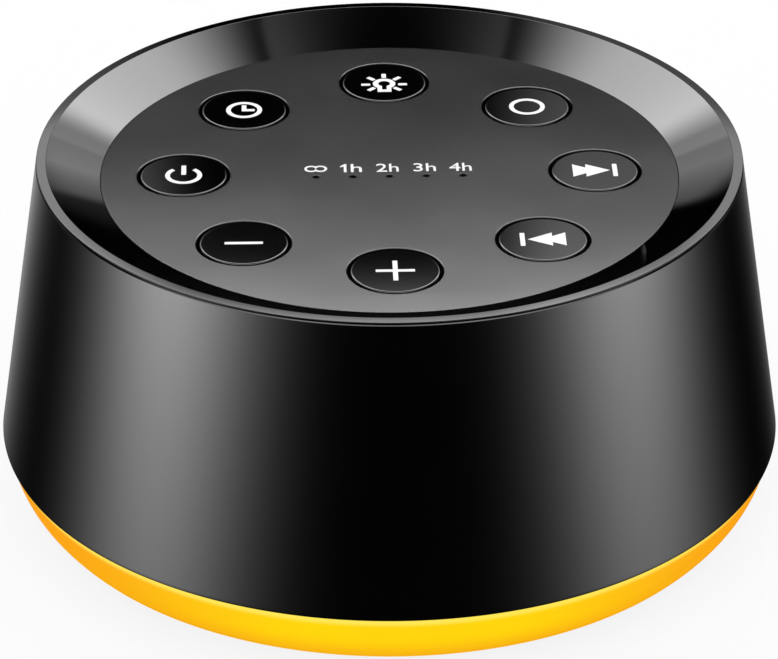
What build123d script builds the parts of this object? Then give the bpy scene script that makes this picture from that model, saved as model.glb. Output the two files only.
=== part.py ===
from build123d import *
from math import cos, radians, sin
import os

# White noise sound machine: a round table unit with eight push keys, a speaker that fires
# down through the base, and a night-light ring.
#
# The frame has its origin at the middle of the base, on the plane that the rubber feet
# stand on. +Z is up, the front (the volume-up key) faces -Y and the power socket faces +Y.
# All sizes are millimetres.

# ---- Driving dimensions ----
BODY_R = 55.0  # outer radius of the shell at its lower edge
RIM_R = 48.8  # outer radius of the shell at its upper edge
FOOT_H = 2.0  # clear height under the base
RING_H = 8.6  # height of the glowing ring
SHELL_H = 41.32  # height of the tapered shell
WALL = 2.2  # shell wall
EDGE = 0.15  # broken edge on mouldings
RIM_Z = 52.3  # top of the flat land round the bowl
LAND_R = 47.4  # inner radius of that land
PLATE_Z = 49.0  # top of the control plate
PLATE_R = 40.0  # radius of the control plate
PLATE_T = 1.6
SHADOW_GAP = 0.2  # open line between the shell and the bezel
SHADOW_DEPTH = 1.1

KEY_RING_R = 28.5  # the keys' centres lie on this circle
KEY_R = 6.05
KEY_HOLE_R = 6.42
KEY_TRAVEL = 0.5
KEY_ANGLES = {
    "light": 90,
    "mode": 45,
    "next": 0,
    "previous": -45,
    "volume_up": -90,
    "volume_down": -135,
    "power": 180,
    "timer": 135,
}
INDICATOR_PITCH = 5.1
INDICATOR_Y = -0.95
INDICATOR_COUNT = 5
PINHOLE_R = 0.35
PINHOLE_SKIN = 0.4  # the pinhole widens below this depth
PINHOLE_WELL_R = 0.9

CONE_EXCURSION = 1.0  # the speaker cone moves this far each way
FLEX_RISE = 2.5 * CONE_EXCURSION  # the surround climbs this far to the cone, so that it can flex
BOARD_T = 1.6
RELEASE = 1.0  # cutting tools run this far past the faces they cut

# ---- Levels and radii worked out from them ----
SHELL_BOTTOM_Z = FOOT_H + RING_H
SHELL_TOP_Z = SHELL_BOTTOM_Z + SHELL_H
TAPER = (BODY_R - RIM_R) / SHELL_H
BASE_TOP_Z = FOOT_H + 2.0
PLATE_UNDER_Z = PLATE_Z - PLATE_T

KEY_FLANGE_R = 7.1
KEY_FLANGE_TOP_Z = PLATE_UNDER_Z - 0.2
KEY_FLANGE_T = 0.7
KEY_EDGE_R = 0.35
KEY_WALL = 1.2
KEY_TOP_T = 1.4
KEY_STEM_R = 2.2
KEY_GUIDE_OFFSET = 7.6  # a pin beside each key's flange keeps the key from turning
KEY_GUIDE_R = 0.7
SWITCH_H = 4.3  # top of the switch plunger over its board
SWITCH_BODY_H = 3.1
SWITCH_SIDE = 6.0
SWITCH_WELL_Z = 1.4  # floor of the plunger's well over the board
PLUNGER_R = 1.75
PLUNGER_FOOT_Z = 2.1  # lower end of the plunger over the board
PLUNGER_BORE_R = 1.95
KEY_STEM_Z = KEY_FLANGE_TOP_Z - KEY_FLANGE_T - 0.3 - KEY_TRAVEL
KEY_BOARD_TOP_Z = KEY_STEM_Z - SWITCH_H
KEY_BOARD_Z = KEY_BOARD_TOP_Z - BOARD_T
KEY_BOARD_R = 38.0

SCREW_R = 1.05  # small self-tapping screw
PILOT_R = 1.1
SCREW_HEAD_R = 2.1
SCREW_HEAD_H = 1.4
SMALL_SCREW = (SCREW_HEAD_R, SCREW_R, SCREW_HEAD_H)
QUARTERS = (0, 90, 180, 270)
DIAGONALS = (45, 135, 225, 315)
BOARD_POST_ANGLES = (22.5, 112.5, 202.5, 292.5)
BOARD_POST_RING_R = 34.5
BOARD_HOLE_R = PILOT_R + 0.1
PLATE_POST_R = 2.5
BASE_POST_R = 3.0

BEZEL_BOSS_RING_R = 43.0
BEZEL_BOSS_R = 2.6
LUG_TOP_Z = KEY_BOARD_TOP_Z - 0.5
LUG_T = 2.0
LUG_Z = LUG_TOP_Z - LUG_T
BOWL_T = 1.8
SKIRT_IN_R = 44.8
SKIRT_OUT_R = 46.3
SKIRT_Z = KEY_BOARD_TOP_Z + 2.1
PLATE_SEAT_R = 38.2
PLATE_SEAT_T = 1.6
PLATE_RECESS_R = PLATE_R + 0.05

MAIN_BOARD_Z = 30.4
MAIN_BOARD_TOP_Z = MAIN_BOARD_Z + BOARD_T
MAIN_BOARD_R = 37.5
BOARD_TAB_W = 16.0
SOCKET_W = 8.94  # USB-C receptacle shell
SOCKET_H = 3.26
SOCKET_T = 0.3
SOCKET_MOUTH_Y = 49.4
SOCKET_BACK_Y = 42.0
SOCKET_Z = MAIN_BOARD_TOP_Z + SOCKET_H / 2
SOCKET_CLEARANCE = 0.12
SOCKET_ROUND = 0.05  # the socket's ends are this far short of full half circles
TONGUE_W = 6.7
TONGUE_T = 0.7
POCKET_W = 14.0
POCKET_H = 8.0
POCKET_CORNER_R = 1.5
POCKET_FLOOR_Y = 49.6
POCKET_PAD_W = 17.0
POCKET_PAD_H = 10.0
POCKET_PAD_T = 2.1
CHIP_PITCH = 1.27
CONNECTOR_H = 2.6
CONNECTOR_W = 12.0
CONNECTOR_DEPTH = 5.0
CONNECTOR_MOUTH_Y = -24.0
RIBBON_T = 0.3
RIBBON_W = 8.0
RIBBON_INSERT = 3.0
RIBBON_UPPER_Z = KEY_BOARD_Z - CONNECTOR_H / 2
RIBBON_LOWER_Z = MAIN_BOARD_TOP_Z + CONNECTOR_H / 2

BASE_R = 49.1
BASE_SCREW_RING_R = 36.5
BASE_BOSS_R = 3.7
BASE_BOSS_TOP_Z = 12.0
BASE_SCREW_R = 1.45
BASE_HEAD_R = 2.5
BASE_HEAD_H = 1.8
COUNTERBORE_R = 2.8
COUNTERBORE_TOP_Z = 4.6
SHELL_BOSS_TOP_Z = 26.0
SHELL_PILOT_TOP_Z = 21.5
FOOT_R = 5.0
FOOT_RING_R = 41.5
FOOT_RECESS = 0.8
FOOT_EDGE_R = 0.6
GRILLE_PITCH = 4.4
GRILLE_HOLE_R = 1.2
GRILLE_RINGS = 5
CLOTH_R = 24.5
CLOTH_T = 0.3

SPEAKER_R = 28.4
SPEAKER_SEAT_R = 25.0
SPEAKER_SEAT_Z = 6.0
GASKET_T = 1.0
FLANGE_Z = SPEAKER_SEAT_Z + GASKET_T
FLANGE_T = 1.4
FLANGE_TOP_Z = FLANGE_Z + FLANGE_T
EAR_RING_R = 31.0
EAR_R = 3.0
LIP_TOP_Z = FLANGE_Z + 0.5  # the surround's lips are glued under this level
LIP_T = 0.4
ROLL_IN_R = 20.7
ROLL_OUT_R = 24.1
CONE_GAP = 0.05
CONE_T = 0.5
CONE_EDGE_Z = LIP_TOP_Z + FLEX_RISE + CONE_GAP
CONE_EDGE_R = ROLL_IN_R - 0.1
CONE_FLAT = 1.2  # width of the flat edge that the surround is glued to
NECK_R = 6.8
NECK_Z = 14.5
CONE_SLOPE = (NECK_Z - CONE_EDGE_Z) / (CONE_EDGE_R - CONE_FLAT - NECK_R)
DUST_CAP_R = 8.2
DUST_CAP_RISE = 1.7
DUST_CAP_T = 0.35
MAGNET_Z = 18.2  # front face of the top plate
LEDGE_Z = MAGNET_Z - 0.6  # the spider is glued under this ledge
LEDGE_IN_R = 14.6
LEDGE_OUT_R = 17.9
SPIDER_T = 0.3
SPIDER_WAVE = 0.35
SPIDER_COLLAR_Z = 15.5
SPIDER_RIM_R = 14.5
TOP_PLATE_T = 2.5
MAGNET_T = 6.0
BACK_PLATE_T = 2.2
POLE_R = 6.25
GAP_R = 7.5
COIL_R = 7.15
FORMER_T = 0.2
TAG_X = -27.2  # inner face of the upright tag board
TAG_T = 1.2
TAG_W = 8.0
TAG_H = 5.6
TAG_PROUD = 0.4
LEAD_Y = 1.5
LEAD_R = 0.2

LIGHT_BOARD_IN_R = 40.6
LIGHT_BOARD_OUT_R = 47.2
LIGHT_BOARD_T = 1.2
LIGHT_LED_RING_R = 45.0
LIGHT_LED_COUNT = 12
REFLECTOR_IN_R = 42.2
REFLECTOR_OUT_R = 50.3
TONGUE_IN_R = 51.0  # the light ring's tongue inside the shell
TONGUE_OUT_R = 52.3
TONGUE_H = 1.4
WIRE_R = 0.55
LIGHT_WIRE_R = 0.4


# ---- Small helpers ----
def shell_radius(z):
    """Outer radius of the tapered shell at height z."""
    return BODY_R - TAPER * (z - SHELL_BOTTOM_Z)


def polar(radius, angle):
    """The point at this radius and angle in degrees."""
    return radius * cos(radians(angle)), radius * sin(radians(angle))


def turned(points):
    """The solid swept by a closed polygon of (radius, height) points about the Z axis."""
    outline = Polyline(*[(r, 0, z) for r, z in points], close=True)
    return revolve(make_face(outline), Axis.Z)


def rod(x, y, r, low, high):
    """An upright cylinder."""
    return Pos(x, y, (low + high) / 2) * Cylinder(r, high - low)


def tube(r_in, r_out, low, high):
    """An upright ring about the Z axis."""
    return rod(0, 0, r_out, low, high) - rod(0, 0, r_in, low - RELEASE, high + RELEASE)


def block(x_low, x_high, y_low, y_high, z_low, z_high):
    """A box between two corners."""
    middle = Pos((x_low + x_high) / 2, (y_low + y_high) / 2, (z_low + z_high) / 2)
    return middle * Box(x_high - x_low, y_high - y_low, z_high - z_low)


def rods_on_ring(ring_r, angles, r, low, high):
    """Equal upright cylinders on a circle."""
    return [rod(*polar(ring_r, a), r, low, high) for a in angles]


def joined(solids):
    """Solids that touch or overlap become one, and the others stay separate."""
    whole = solids[0]
    for solid in solids[1:]:
        whole = whole + solid
    return whole


def top_rim(solid):
    """The highest round edge of a solid."""
    return solid.edges().filter_by(GeomType.CIRCLE).sort_by(Axis.Z)[-1]


def bottom_rim(solid):
    """The lowest round edge of a solid."""
    return solid.edges().filter_by(GeomType.CIRCLE).sort_by(Axis.Z)[0]


def rounded_bar(width, height, radius, y_low, y_high, z_middle):
    """A bar along Y with a rounded-rectangle section."""
    section = Plane.XZ * RectangleRounded(width, height, radius)
    return Pos(0, y_high, z_middle) * extrude(section, y_high - y_low)


def screws_on_ring(ring_r, angles, under_head_z, tip_z, head_r, shank_r, head_h, slot=0.6):
    """Screws with a domed cross-slotted head. tip_z above under_head_z points the screw upwards."""
    up = 1 if tip_z > under_head_z else -1
    crown_z = under_head_z - up * head_h
    shank = rod(0, 0, shank_r, min(tip_z, under_head_z), max(tip_z, under_head_z))
    head = rod(0, 0, head_r, min(crown_z, under_head_z), max(crown_z, under_head_z))
    head = fillet(top_rim(head) if up < 0 else bottom_rim(head), head_h * 0.45)
    depth = head_h * 0.5
    cross = Box(head_r * 1.2, slot, 2 * depth) + Box(slot, head_r * 1.2, 2 * depth)
    screw = head + shank - Pos(0, 0, crown_z) * cross
    return joined([Pos(*polar(ring_r, a), 0) * Rot(0, 0, a) * screw for a in angles])


def wire(points, radius_of_bends, r):
    """A round wire along straight runs joined by arcs."""
    path = FilletPolyline(*points, radius=radius_of_bends)
    section = Plane(origin=path @ 0, z_dir=path % 0) * Circle(r)
    return sweep(section, path=path)


# ---- Casing ----
def inside_shell():
    """The filled cone of the shell, which trims what is moulded onto its inner wall."""
    return turned(
        [
            (0, SHELL_BOTTOM_Z),
            (BODY_R - EDGE, SHELL_BOTTOM_Z),
            (RIM_R - EDGE, SHELL_TOP_Z),
            (0, SHELL_TOP_Z),
        ]
    )


def outer_shell():
    """The tapered cover: bosses for the base screws, lugs for the bezel, a socket pocket."""
    shell = turned(
        [
            (BODY_R - WALL, SHELL_BOTTOM_Z),
            (BODY_R - EDGE, SHELL_BOTTOM_Z),
            (BODY_R, SHELL_BOTTOM_Z + EDGE),
            (shell_radius(SHELL_TOP_Z - EDGE), SHELL_TOP_Z - EDGE),
            (RIM_R - EDGE, SHELL_TOP_Z),
            (RIM_R - WALL, SHELL_TOP_Z),
        ]
    )
    moulded = []
    for angle in DIAGONALS:
        rib = block(BASE_SCREW_RING_R, BODY_R, -1, 1, BASE_BOSS_TOP_Z + 1.5, SHELL_BOSS_TOP_Z - 1)
        lug = block(BEZEL_BOSS_RING_R - 3, BODY_R, -4, 4, LUG_Z, LUG_TOP_Z)
        moulded += [Rot(0, 0, angle) * rib, Rot(0, 0, angle) * lug]
    half_w = POCKET_PAD_W / 2
    half_h = POCKET_PAD_H / 2
    pad_y = POCKET_FLOOR_Y - POCKET_PAD_T
    moulded.append(block(-half_w, half_w, pad_y, BODY_R, SOCKET_Z - half_h, SOCKET_Z + half_h))
    shell = shell + joined([piece & inside_shell() for piece in moulded])
    boss = (BASE_SCREW_RING_R, DIAGONALS, BASE_BOSS_R, BASE_BOSS_TOP_Z, SHELL_BOSS_TOP_Z)
    for post in rods_on_ring(*boss):
        shell = shell + post
    pilot_r = BASE_SCREW_R + 0.05
    pilot_low = BASE_BOSS_TOP_Z - RELEASE
    removed = rods_on_ring(BASE_SCREW_RING_R, DIAGONALS, pilot_r, pilot_low, SHELL_PILOT_TOP_Z)
    lug_hole = (SCREW_R + 0.2, LUG_Z - RELEASE, LUG_TOP_Z + RELEASE)
    removed += rods_on_ring(BEZEL_BOSS_RING_R, DIAGONALS, *lug_hole)
    pocket_out_y = BODY_R + RELEASE
    pocket = (POCKET_W, POCKET_H, POCKET_CORNER_R, POCKET_FLOOR_Y, pocket_out_y, SOCKET_Z)
    removed.append(rounded_bar(*pocket))
    mouth_w = SOCKET_W + 2 * SOCKET_CLEARANCE
    mouth_h = SOCKET_H + 2 * SOCKET_CLEARANCE
    mouth_r = mouth_h / 2 - SOCKET_ROUND
    mouth_in_y = POCKET_FLOOR_Y - 2 * POCKET_PAD_T
    mouth_out_y = POCKET_FLOOR_Y + RELEASE
    removed.append(rounded_bar(mouth_w, mouth_h, mouth_r, mouth_in_y, mouth_out_y, SOCKET_Z))
    for piece in removed:
        shell = shell - piece
    return shell


def top_bezel():
    """The bowl with its flat land, a seat for the plate, a skirt inside the shell and four screw bosses."""
    seat_z = PLATE_UNDER_Z - PLATE_SEAT_T
    lip_r = RIM_R - 0.05
    ring = turned(
        [
            (PLATE_SEAT_R, PLATE_UNDER_Z),
            (PLATE_SEAT_R, seat_z),
            (PLATE_RECESS_R + 1.2, seat_z),
            (SKIRT_IN_R, RIM_Z - BOWL_T - 0.95),
            (SKIRT_IN_R, SKIRT_Z),
            (SKIRT_OUT_R, SKIRT_Z),
            (SKIRT_OUT_R, SHELL_TOP_Z),
            (RIM_R - SHADOW_DEPTH, SHELL_TOP_Z),
            (RIM_R - SHADOW_DEPTH, SHELL_TOP_Z + SHADOW_GAP),
            (lip_r, SHELL_TOP_Z + SHADOW_GAP),
            (lip_r, RIM_Z - EDGE / 2),
            (lip_r - EDGE, RIM_Z),
            (LAND_R, RIM_Z),
            (PLATE_RECESS_R, PLATE_Z),
            (PLATE_RECESS_R, PLATE_UNDER_Z),
        ]
    )
    boss_in_r = BEZEL_BOSS_RING_R - 2 * BEZEL_BOSS_R
    boss_out_r = SKIRT_OUT_R - 0.5
    boss_z = LUG_TOP_Z - RELEASE
    under_bowl = turned(
        [
            (boss_in_r, boss_z),
            (boss_out_r, boss_z),
            (boss_out_r, RIM_Z - 1.2),
            (PLATE_RECESS_R + 0.5, PLATE_Z - 0.7),
            (boss_in_r, PLATE_Z - 0.7),
        ]
    )
    for boss in rods_on_ring(BEZEL_BOSS_RING_R, DIAGONALS, BEZEL_BOSS_R, LUG_TOP_Z, RIM_Z):
        ring = ring + (boss & under_bowl)
    pilot_top = LUG_TOP_Z + 4.2
    for pilot in rods_on_ring(BEZEL_BOSS_RING_R, DIAGONALS, PILOT_R, boss_z, pilot_top):
        ring = ring - pilot
    return ring


def control_plate():
    """The flat panel with the key holes and indicator pinholes, and posts under it for the key board."""
    plate = rod(0, 0, PLATE_R, PLATE_UNDER_Z, PLATE_Z)
    pin_low = KEY_FLANGE_TOP_Z - KEY_FLANGE_T - 0.6
    pin_ring_r = KEY_RING_R + KEY_GUIDE_OFFSET
    post_ring = (BOARD_POST_RING_R, BOARD_POST_ANGLES)
    added = rods_on_ring(*post_ring, PLATE_POST_R, KEY_BOARD_TOP_Z, PLATE_UNDER_Z)
    added += rods_on_ring(pin_ring_r, KEY_ANGLES.values(), KEY_GUIDE_R, pin_low, PLATE_UNDER_Z)
    for piece in added:
        plate = plate + piece
    low = PLATE_UNDER_Z - RELEASE
    high = PLATE_Z + RELEASE
    removed = rods_on_ring(KEY_RING_R, KEY_ANGLES.values(), KEY_HOLE_R, low, high)
    removed += rods_on_ring(*post_ring, PILOT_R, KEY_BOARD_TOP_Z - RELEASE, PLATE_UNDER_Z - 1.4)
    for x in indicator_xs():
        removed.append(rod(x, INDICATOR_Y, PINHOLE_R, PLATE_UNDER_Z, high))
        removed.append(rod(x, INDICATOR_Y, PINHOLE_WELL_R, low, PLATE_Z - PINHOLE_SKIN))
    for piece in removed:
        plate = plate - piece
    return plate


# ---- Keys and their switches ----
def key_cap(angle):
    """A round cap with a rounded top edge, a flange notched for its guide pin, and a stem."""
    x, y = polar(KEY_RING_R, angle)
    flange_low = KEY_FLANGE_TOP_Z - KEY_FLANGE_T
    cap = rod(x, y, KEY_R, flange_low, PLATE_Z)
    cap = fillet(top_rim(cap), KEY_EDGE_R)
    cap = cap + rod(x, y, KEY_FLANGE_R, flange_low, KEY_FLANGE_TOP_Z)
    cap = cap - rod(x, y, KEY_R - KEY_WALL, flange_low - RELEASE, PLATE_Z - KEY_TOP_T)
    cap = cap + rod(x, y, KEY_STEM_R, KEY_STEM_Z, PLATE_Z - KEY_TOP_T + 0.1)
    pin = polar(KEY_RING_R + KEY_GUIDE_OFFSET, angle)
    return cap - rod(*pin, KEY_GUIDE_R + 0.3, flange_low - RELEASE, KEY_FLANGE_TOP_Z)


def switch_plunger(angle):
    """The round button of the tact switch under one key."""
    return rod(*polar(KEY_RING_R, angle), PLUNGER_R, KEY_BOARD_TOP_Z + PLUNGER_FOOT_Z, KEY_STEM_Z)


def switch_housings():
    """The eight square switch bodies, each with a well for its plunger."""
    top = KEY_BOARD_TOP_Z + SWITCH_BODY_H
    well_z = KEY_BOARD_TOP_Z + SWITCH_WELL_Z
    half = SWITCH_SIDE / 2
    housings = []
    for angle in KEY_ANGLES.values():
        x, y = polar(KEY_RING_R, angle)
        body = block(x - half, x + half, y - half, y + half, KEY_BOARD_TOP_Z, top)
        housings.append(body - rod(x, y, PLUNGER_BORE_R, well_z, top + RELEASE))
    return joined(housings)


def board_with_post_holes(board, low, high):
    """A circuit board drilled for the four screws of its posts."""
    drill = (BOARD_HOLE_R, low - RELEASE, high + RELEASE)
    for hole in rods_on_ring(BOARD_POST_RING_R, BOARD_POST_ANGLES, *drill):
        board = board - hole
    return board


def key_board():
    """The round circuit board that carries the switches and indicators."""
    board = rod(0, 0, KEY_BOARD_R, KEY_BOARD_Z, KEY_BOARD_TOP_Z)
    return board_with_post_holes(board, KEY_BOARD_Z, KEY_BOARD_TOP_Z)


def key_board_screws():
    """Four screws that hold the key board to the plate's posts."""
    ends = (KEY_BOARD_Z, PLATE_UNDER_Z - 1.8)
    return screws_on_ring(BOARD_POST_RING_R, BOARD_POST_ANGLES, *ends, *SMALL_SCREW)


def indicator_xs():
    """The X of each indicator pinhole."""
    first = -INDICATOR_PITCH * (INDICATOR_COUNT - 1) / 2
    return [first + INDICATOR_PITCH * i for i in range(INDICATOR_COUNT)]


def indicator_leds():
    """One small surface-mount lamp under each pinhole."""
    half_x = 0.8
    half_y = 0.4
    height = 0.6
    y_low = INDICATOR_Y - half_y
    y_high = INDICATOR_Y + half_y
    top = KEY_BOARD_TOP_Z + height
    lamps = [
        block(x - half_x, x + half_x, y_low, y_high, KEY_BOARD_TOP_Z, top)
        for x in indicator_xs()
    ]
    return joined(lamps)


def indicator_light_guide():
    """A clear bar on two legs with a light pin up to each pinhole."""
    low = KEY_BOARD_TOP_Z + 3.2
    high = low + 1.4
    leg_w = 1.2
    y_low = INDICATOR_Y - leg_w
    y_high = INDICATOR_Y + leg_w
    reach = indicator_xs()[-1] + 2.2
    guide = block(-reach, reach, y_low, y_high, low, high)
    for x in (-reach, reach - leg_w):
        guide = guide + block(x, x + leg_w, y_low, y_high, KEY_BOARD_TOP_Z, high)
    pin_low = KEY_BOARD_TOP_Z + 0.9
    for x in indicator_xs():
        pin = rod(x, INDICATOR_Y, PINHOLE_WELL_R - 0.2, pin_low, PLATE_Z - PINHOLE_SKIN - 0.2)
        guide = guide + pin
    return guide


# ---- Main board and what is on it ----
def ribbon_slot(z):
    """The slot in a connector that the ribbon is pushed into."""
    half_w = RIBBON_W / 2
    half_t = RIBBON_T / 2
    y_low = CONNECTOR_MOUTH_Y - RELEASE
    y_high = CONNECTOR_MOUTH_Y + RIBBON_INSERT
    return block(-half_w, half_w, y_low, y_high, z - half_t, z + half_t)


def ribbon_connectors():
    """Two flat-cable connectors, one under the key board and one on the main board."""
    half = CONNECTOR_W / 2
    back = CONNECTOR_MOUTH_Y + CONNECTOR_DEPTH
    blank = (-half, half, CONNECTOR_MOUTH_Y, back)
    upper = block(*blank, KEY_BOARD_Z - CONNECTOR_H, KEY_BOARD_Z)
    lower = block(*blank, MAIN_BOARD_TOP_Z, MAIN_BOARD_TOP_Z + CONNECTOR_H)
    return joined([upper - ribbon_slot(RIBBON_UPPER_Z), lower - ribbon_slot(RIBBON_LOWER_Z)])


def ribbon_cable():
    """A flat cable that loops from the upper connector to the lower one."""
    bend_y = CONNECTOR_MOUTH_Y - 4
    middle_z = (RIBBON_UPPER_Z + RIBBON_LOWER_Z) / 2
    bend_r = (RIBBON_UPPER_Z - RIBBON_LOWER_Z) / 2
    end_y = CONNECTOR_MOUTH_Y + RIBBON_INSERT
    profile = []
    for r in (bend_r + RIBBON_T / 2, bend_r - RIBBON_T / 2):
        high = (0, bend_y, middle_z + r)
        low = (0, bend_y, middle_z - r)
        profile.append(ThreePointArc(high, (0, bend_y - r, middle_z), low))
        profile.append(Line((0, end_y, middle_z + r), high))
        profile.append(Line((0, end_y, middle_z - r), low))
    for z in (RIBBON_UPPER_Z, RIBBON_LOWER_Z):
        profile.append(Line((0, end_y, z - RIBBON_T / 2), (0, end_y, z + RIBBON_T / 2)))
    return extrude(make_face(profile), RIBBON_W / 2, dir=(1, 0, 0), both=True)


def main_board():
    """The round main circuit board with a tab that carries the power socket."""
    board = rod(0, 0, MAIN_BOARD_R, MAIN_BOARD_Z, MAIN_BOARD_TOP_Z)
    half = BOARD_TAB_W / 2
    tab_y = POCKET_FLOOR_Y - POCKET_PAD_T - 0.2
    board = board + block(-half, half, MAIN_BOARD_R - 7.5, tab_y, MAIN_BOARD_Z, MAIN_BOARD_TOP_Z)
    return board_with_post_holes(board, MAIN_BOARD_Z, MAIN_BOARD_TOP_Z)


def main_board_screws():
    """Four screws that hold the main board to the base's posts."""
    ends = (MAIN_BOARD_TOP_Z, MAIN_BOARD_Z - 5.9)
    return screws_on_ring(BOARD_POST_RING_R, BOARD_POST_ANGLES, *ends, *SMALL_SCREW)


def chip(x, y, length, width, height):
    """A moulded chip with gull-wing legs along its two long sides."""
    low = MAIN_BOARD_TOP_Z
    half_l = length / 2
    half_w = width / 2
    stand_off = 0.15
    body = block(x - half_l, x + half_l, y - half_w, y + half_w, low + stand_off, low + height)
    legs = []
    leg_w = 0.4
    leg_reach = 0.9
    count = int(length / CHIP_PITCH)
    for i in range(count):
        leg_x = x + (i - (count - 1) / 2) * CHIP_PITCH - leg_w / 2
        for side in (-1, 1):
            ends = sorted((y + side * (half_w - 0.1), y + side * (half_w + leg_reach)))
            legs.append(block(leg_x, leg_x + leg_w, *ends, low, low + leg_w))
    return joined([body] + legs)


def sound_chip():
    """The chip that makes the sounds."""
    return chip(6, 6, 10.3, 4.0, 1.8)


def amplifier_chip():
    """The speaker amplifier."""
    return chip(-18, 2, 5.2, 3.9, 1.6)


def memory_chip():
    """The chip that stores the sounds."""
    return chip(20, -4, 5.2, 3.9, 1.6)


def electrolytic_capacitors():
    """Three upright can capacitors."""
    can_r = 2.5
    can_h = 5.4
    cans = []
    for x, y in ((-14, 20), (-22, 14), (14, 20)):
        can = rod(x, y, can_r, MAIN_BOARD_TOP_Z, MAIN_BOARD_TOP_Z + can_h)
        cans.append(fillet(top_rim(can), 0.4))
    return joined(cans)


def power_inductor():
    """A square shielded coil near the power socket."""
    half = 3.0
    y_low = 30.0
    height = 2.8
    ends = (MAIN_BOARD_TOP_Z, MAIN_BOARD_TOP_Z + height)
    body = block(-half, half, y_low, y_low + 2 * half, *ends)
    return chamfer(body.edges().filter_by(Axis.Z), 0.8)


def small_components():
    """Rows of small surface-mount resistors and capacitors."""
    length = 1.6
    width = 0.8
    height = 0.6
    pitch = 3.4
    first_x = -10.0
    top = MAIN_BOARD_TOP_Z + height
    pieces = []
    for row_y in (-6, -10, -14):
        for i in range(6):
            x = first_x + i * pitch
            pieces.append(block(x, x + length, row_y, row_y + width, MAIN_BOARD_TOP_Z, top))
    return joined(pieces)


def power_socket_shell():
    """The steel shell of the USB-C receptacle, open at the back of the unit."""
    outside_r = SOCKET_H / 2 - SOCKET_ROUND
    ends = (SOCKET_BACK_Y, SOCKET_MOUTH_Y)
    outside = rounded_bar(SOCKET_W, SOCKET_H, outside_r, *ends, SOCKET_Z)
    hollow_w = SOCKET_W - 2 * SOCKET_T
    hollow_h = SOCKET_H - 2 * SOCKET_T
    hollow_r = hollow_h / 2 - SOCKET_ROUND
    ends = (SOCKET_BACK_Y + SOCKET_T, SOCKET_MOUTH_Y + RELEASE)
    return outside - rounded_bar(hollow_w, hollow_h, hollow_r, *ends, SOCKET_Z)


def power_socket_insulator():
    """The plastic block and contact tongue inside the receptacle."""
    back_y = SOCKET_BACK_Y + SOCKET_T
    front_y = back_y + 1.0
    width = SOCKET_W - 2 * SOCKET_T
    height = SOCKET_H - 2 * SOCKET_T
    plug = rounded_bar(width, height, height / 2 - SOCKET_ROUND, back_y, front_y, SOCKET_Z)
    half_w = TONGUE_W / 2
    half_t = TONGUE_T / 2
    tip_y = SOCKET_MOUTH_Y - 0.8
    return plug + block(-half_w, half_w, front_y, tip_y, SOCKET_Z - half_t, SOCKET_Z + half_t)


def bezel_screws():
    """Four screws from under the shell's lugs into the bezel's bosses."""
    return screws_on_ring(BEZEL_BOSS_RING_R, DIAGONALS, LUG_Z, LUG_TOP_Z + 3.8, *SMALL_SCREW)


# ---- Speaker ----
def speaker_basket():
    """The pressed frame: a flange with four ears, a windowed shoulder and the magnet's ledge."""
    lip_r = ROLL_OUT_R + 1.9
    shoulder_z = 12.0
    neck_z = LEDGE_Z - 1.2
    wall_r = LEDGE_OUT_R - 1.4
    basket = turned(
        [
            (lip_r, FLANGE_Z),
            (SPEAKER_R, FLANGE_Z),
            (SPEAKER_R, FLANGE_TOP_Z),
            (25.4, FLANGE_TOP_Z),
            (24.6, shoulder_z),
            (LEDGE_OUT_R, neck_z),
            (LEDGE_OUT_R, MAGNET_Z),
            (LEDGE_IN_R, MAGNET_Z),
            (LEDGE_IN_R, LEDGE_Z),
            (wall_r, LEDGE_Z),
            (wall_r, neck_z + 0.2),
            (23.4, shoulder_z),
            (24.0, FLANGE_TOP_Z - 0.2),
            (24.0, LIP_TOP_Z),
            (lip_r, LIP_TOP_Z),
        ]
    )
    low = FLANGE_Z - RELEASE
    high = FLANGE_TOP_Z + RELEASE
    for ear in rods_on_ring(EAR_RING_R, QUARTERS, EAR_R, FLANGE_Z, FLANGE_TOP_Z):
        basket = basket + (ear - rod(0, 0, SPEAKER_R - 1.5, low, high))
    for hole in rods_on_ring(EAR_RING_R, QUARTERS, BOARD_HOLE_R, low, high):
        basket = basket - hole
    window = block(10, 30, -8, 8, FLANGE_TOP_Z + 0.9, neck_z - 0.4)
    for angle in QUARTERS:
        basket = basket - Rot(0, 0, angle) * window
    return basket


def speaker_surround():
    """The rubber edge: an outer lip, a half roll, and a wall up to the lip under the cone."""
    middle_r = (ROLL_IN_R + ROLL_OUT_R) / 2
    outer_r = (ROLL_OUT_R - ROLL_IN_R) / 2
    inner_r = outer_r - LIP_T
    low = LIP_TOP_Z - LIP_T
    cone_lip_z = LIP_TOP_Z + FLEX_RISE
    lip_out = ROLL_OUT_R + 1.8
    lip_in = ROLL_IN_R - CONE_FLAT
    inside = ThreePointArc(
        (middle_r + inner_r, 0, low),
        (middle_r, 0, low - inner_r),
        (middle_r - inner_r, 0, low),
    )
    outside = ThreePointArc(
        (middle_r - outer_r, 0, low),
        (middle_r, 0, low - outer_r),
        (middle_r + outer_r, 0, low),
    )
    outer_lip = [
        (middle_r + outer_r, low),
        (lip_out, low),
        (lip_out, LIP_TOP_Z),
        (middle_r + inner_r, LIP_TOP_Z),
        (middle_r + inner_r, low),
    ]
    cone_lip = [
        (middle_r - inner_r, low),
        (middle_r - inner_r, cone_lip_z),
        (lip_in, cone_lip_z),
        (lip_in, cone_lip_z - LIP_T),
        (middle_r - outer_r, cone_lip_z - LIP_T),
        (middle_r - outer_r, low),
    ]
    outline = [inside, outside]
    outline += [Polyline(*[(r, 0, z) for r, z in lip]) for lip in (outer_lip, cone_lip)]
    return revolve(make_face(outline), Axis.Z)


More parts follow.
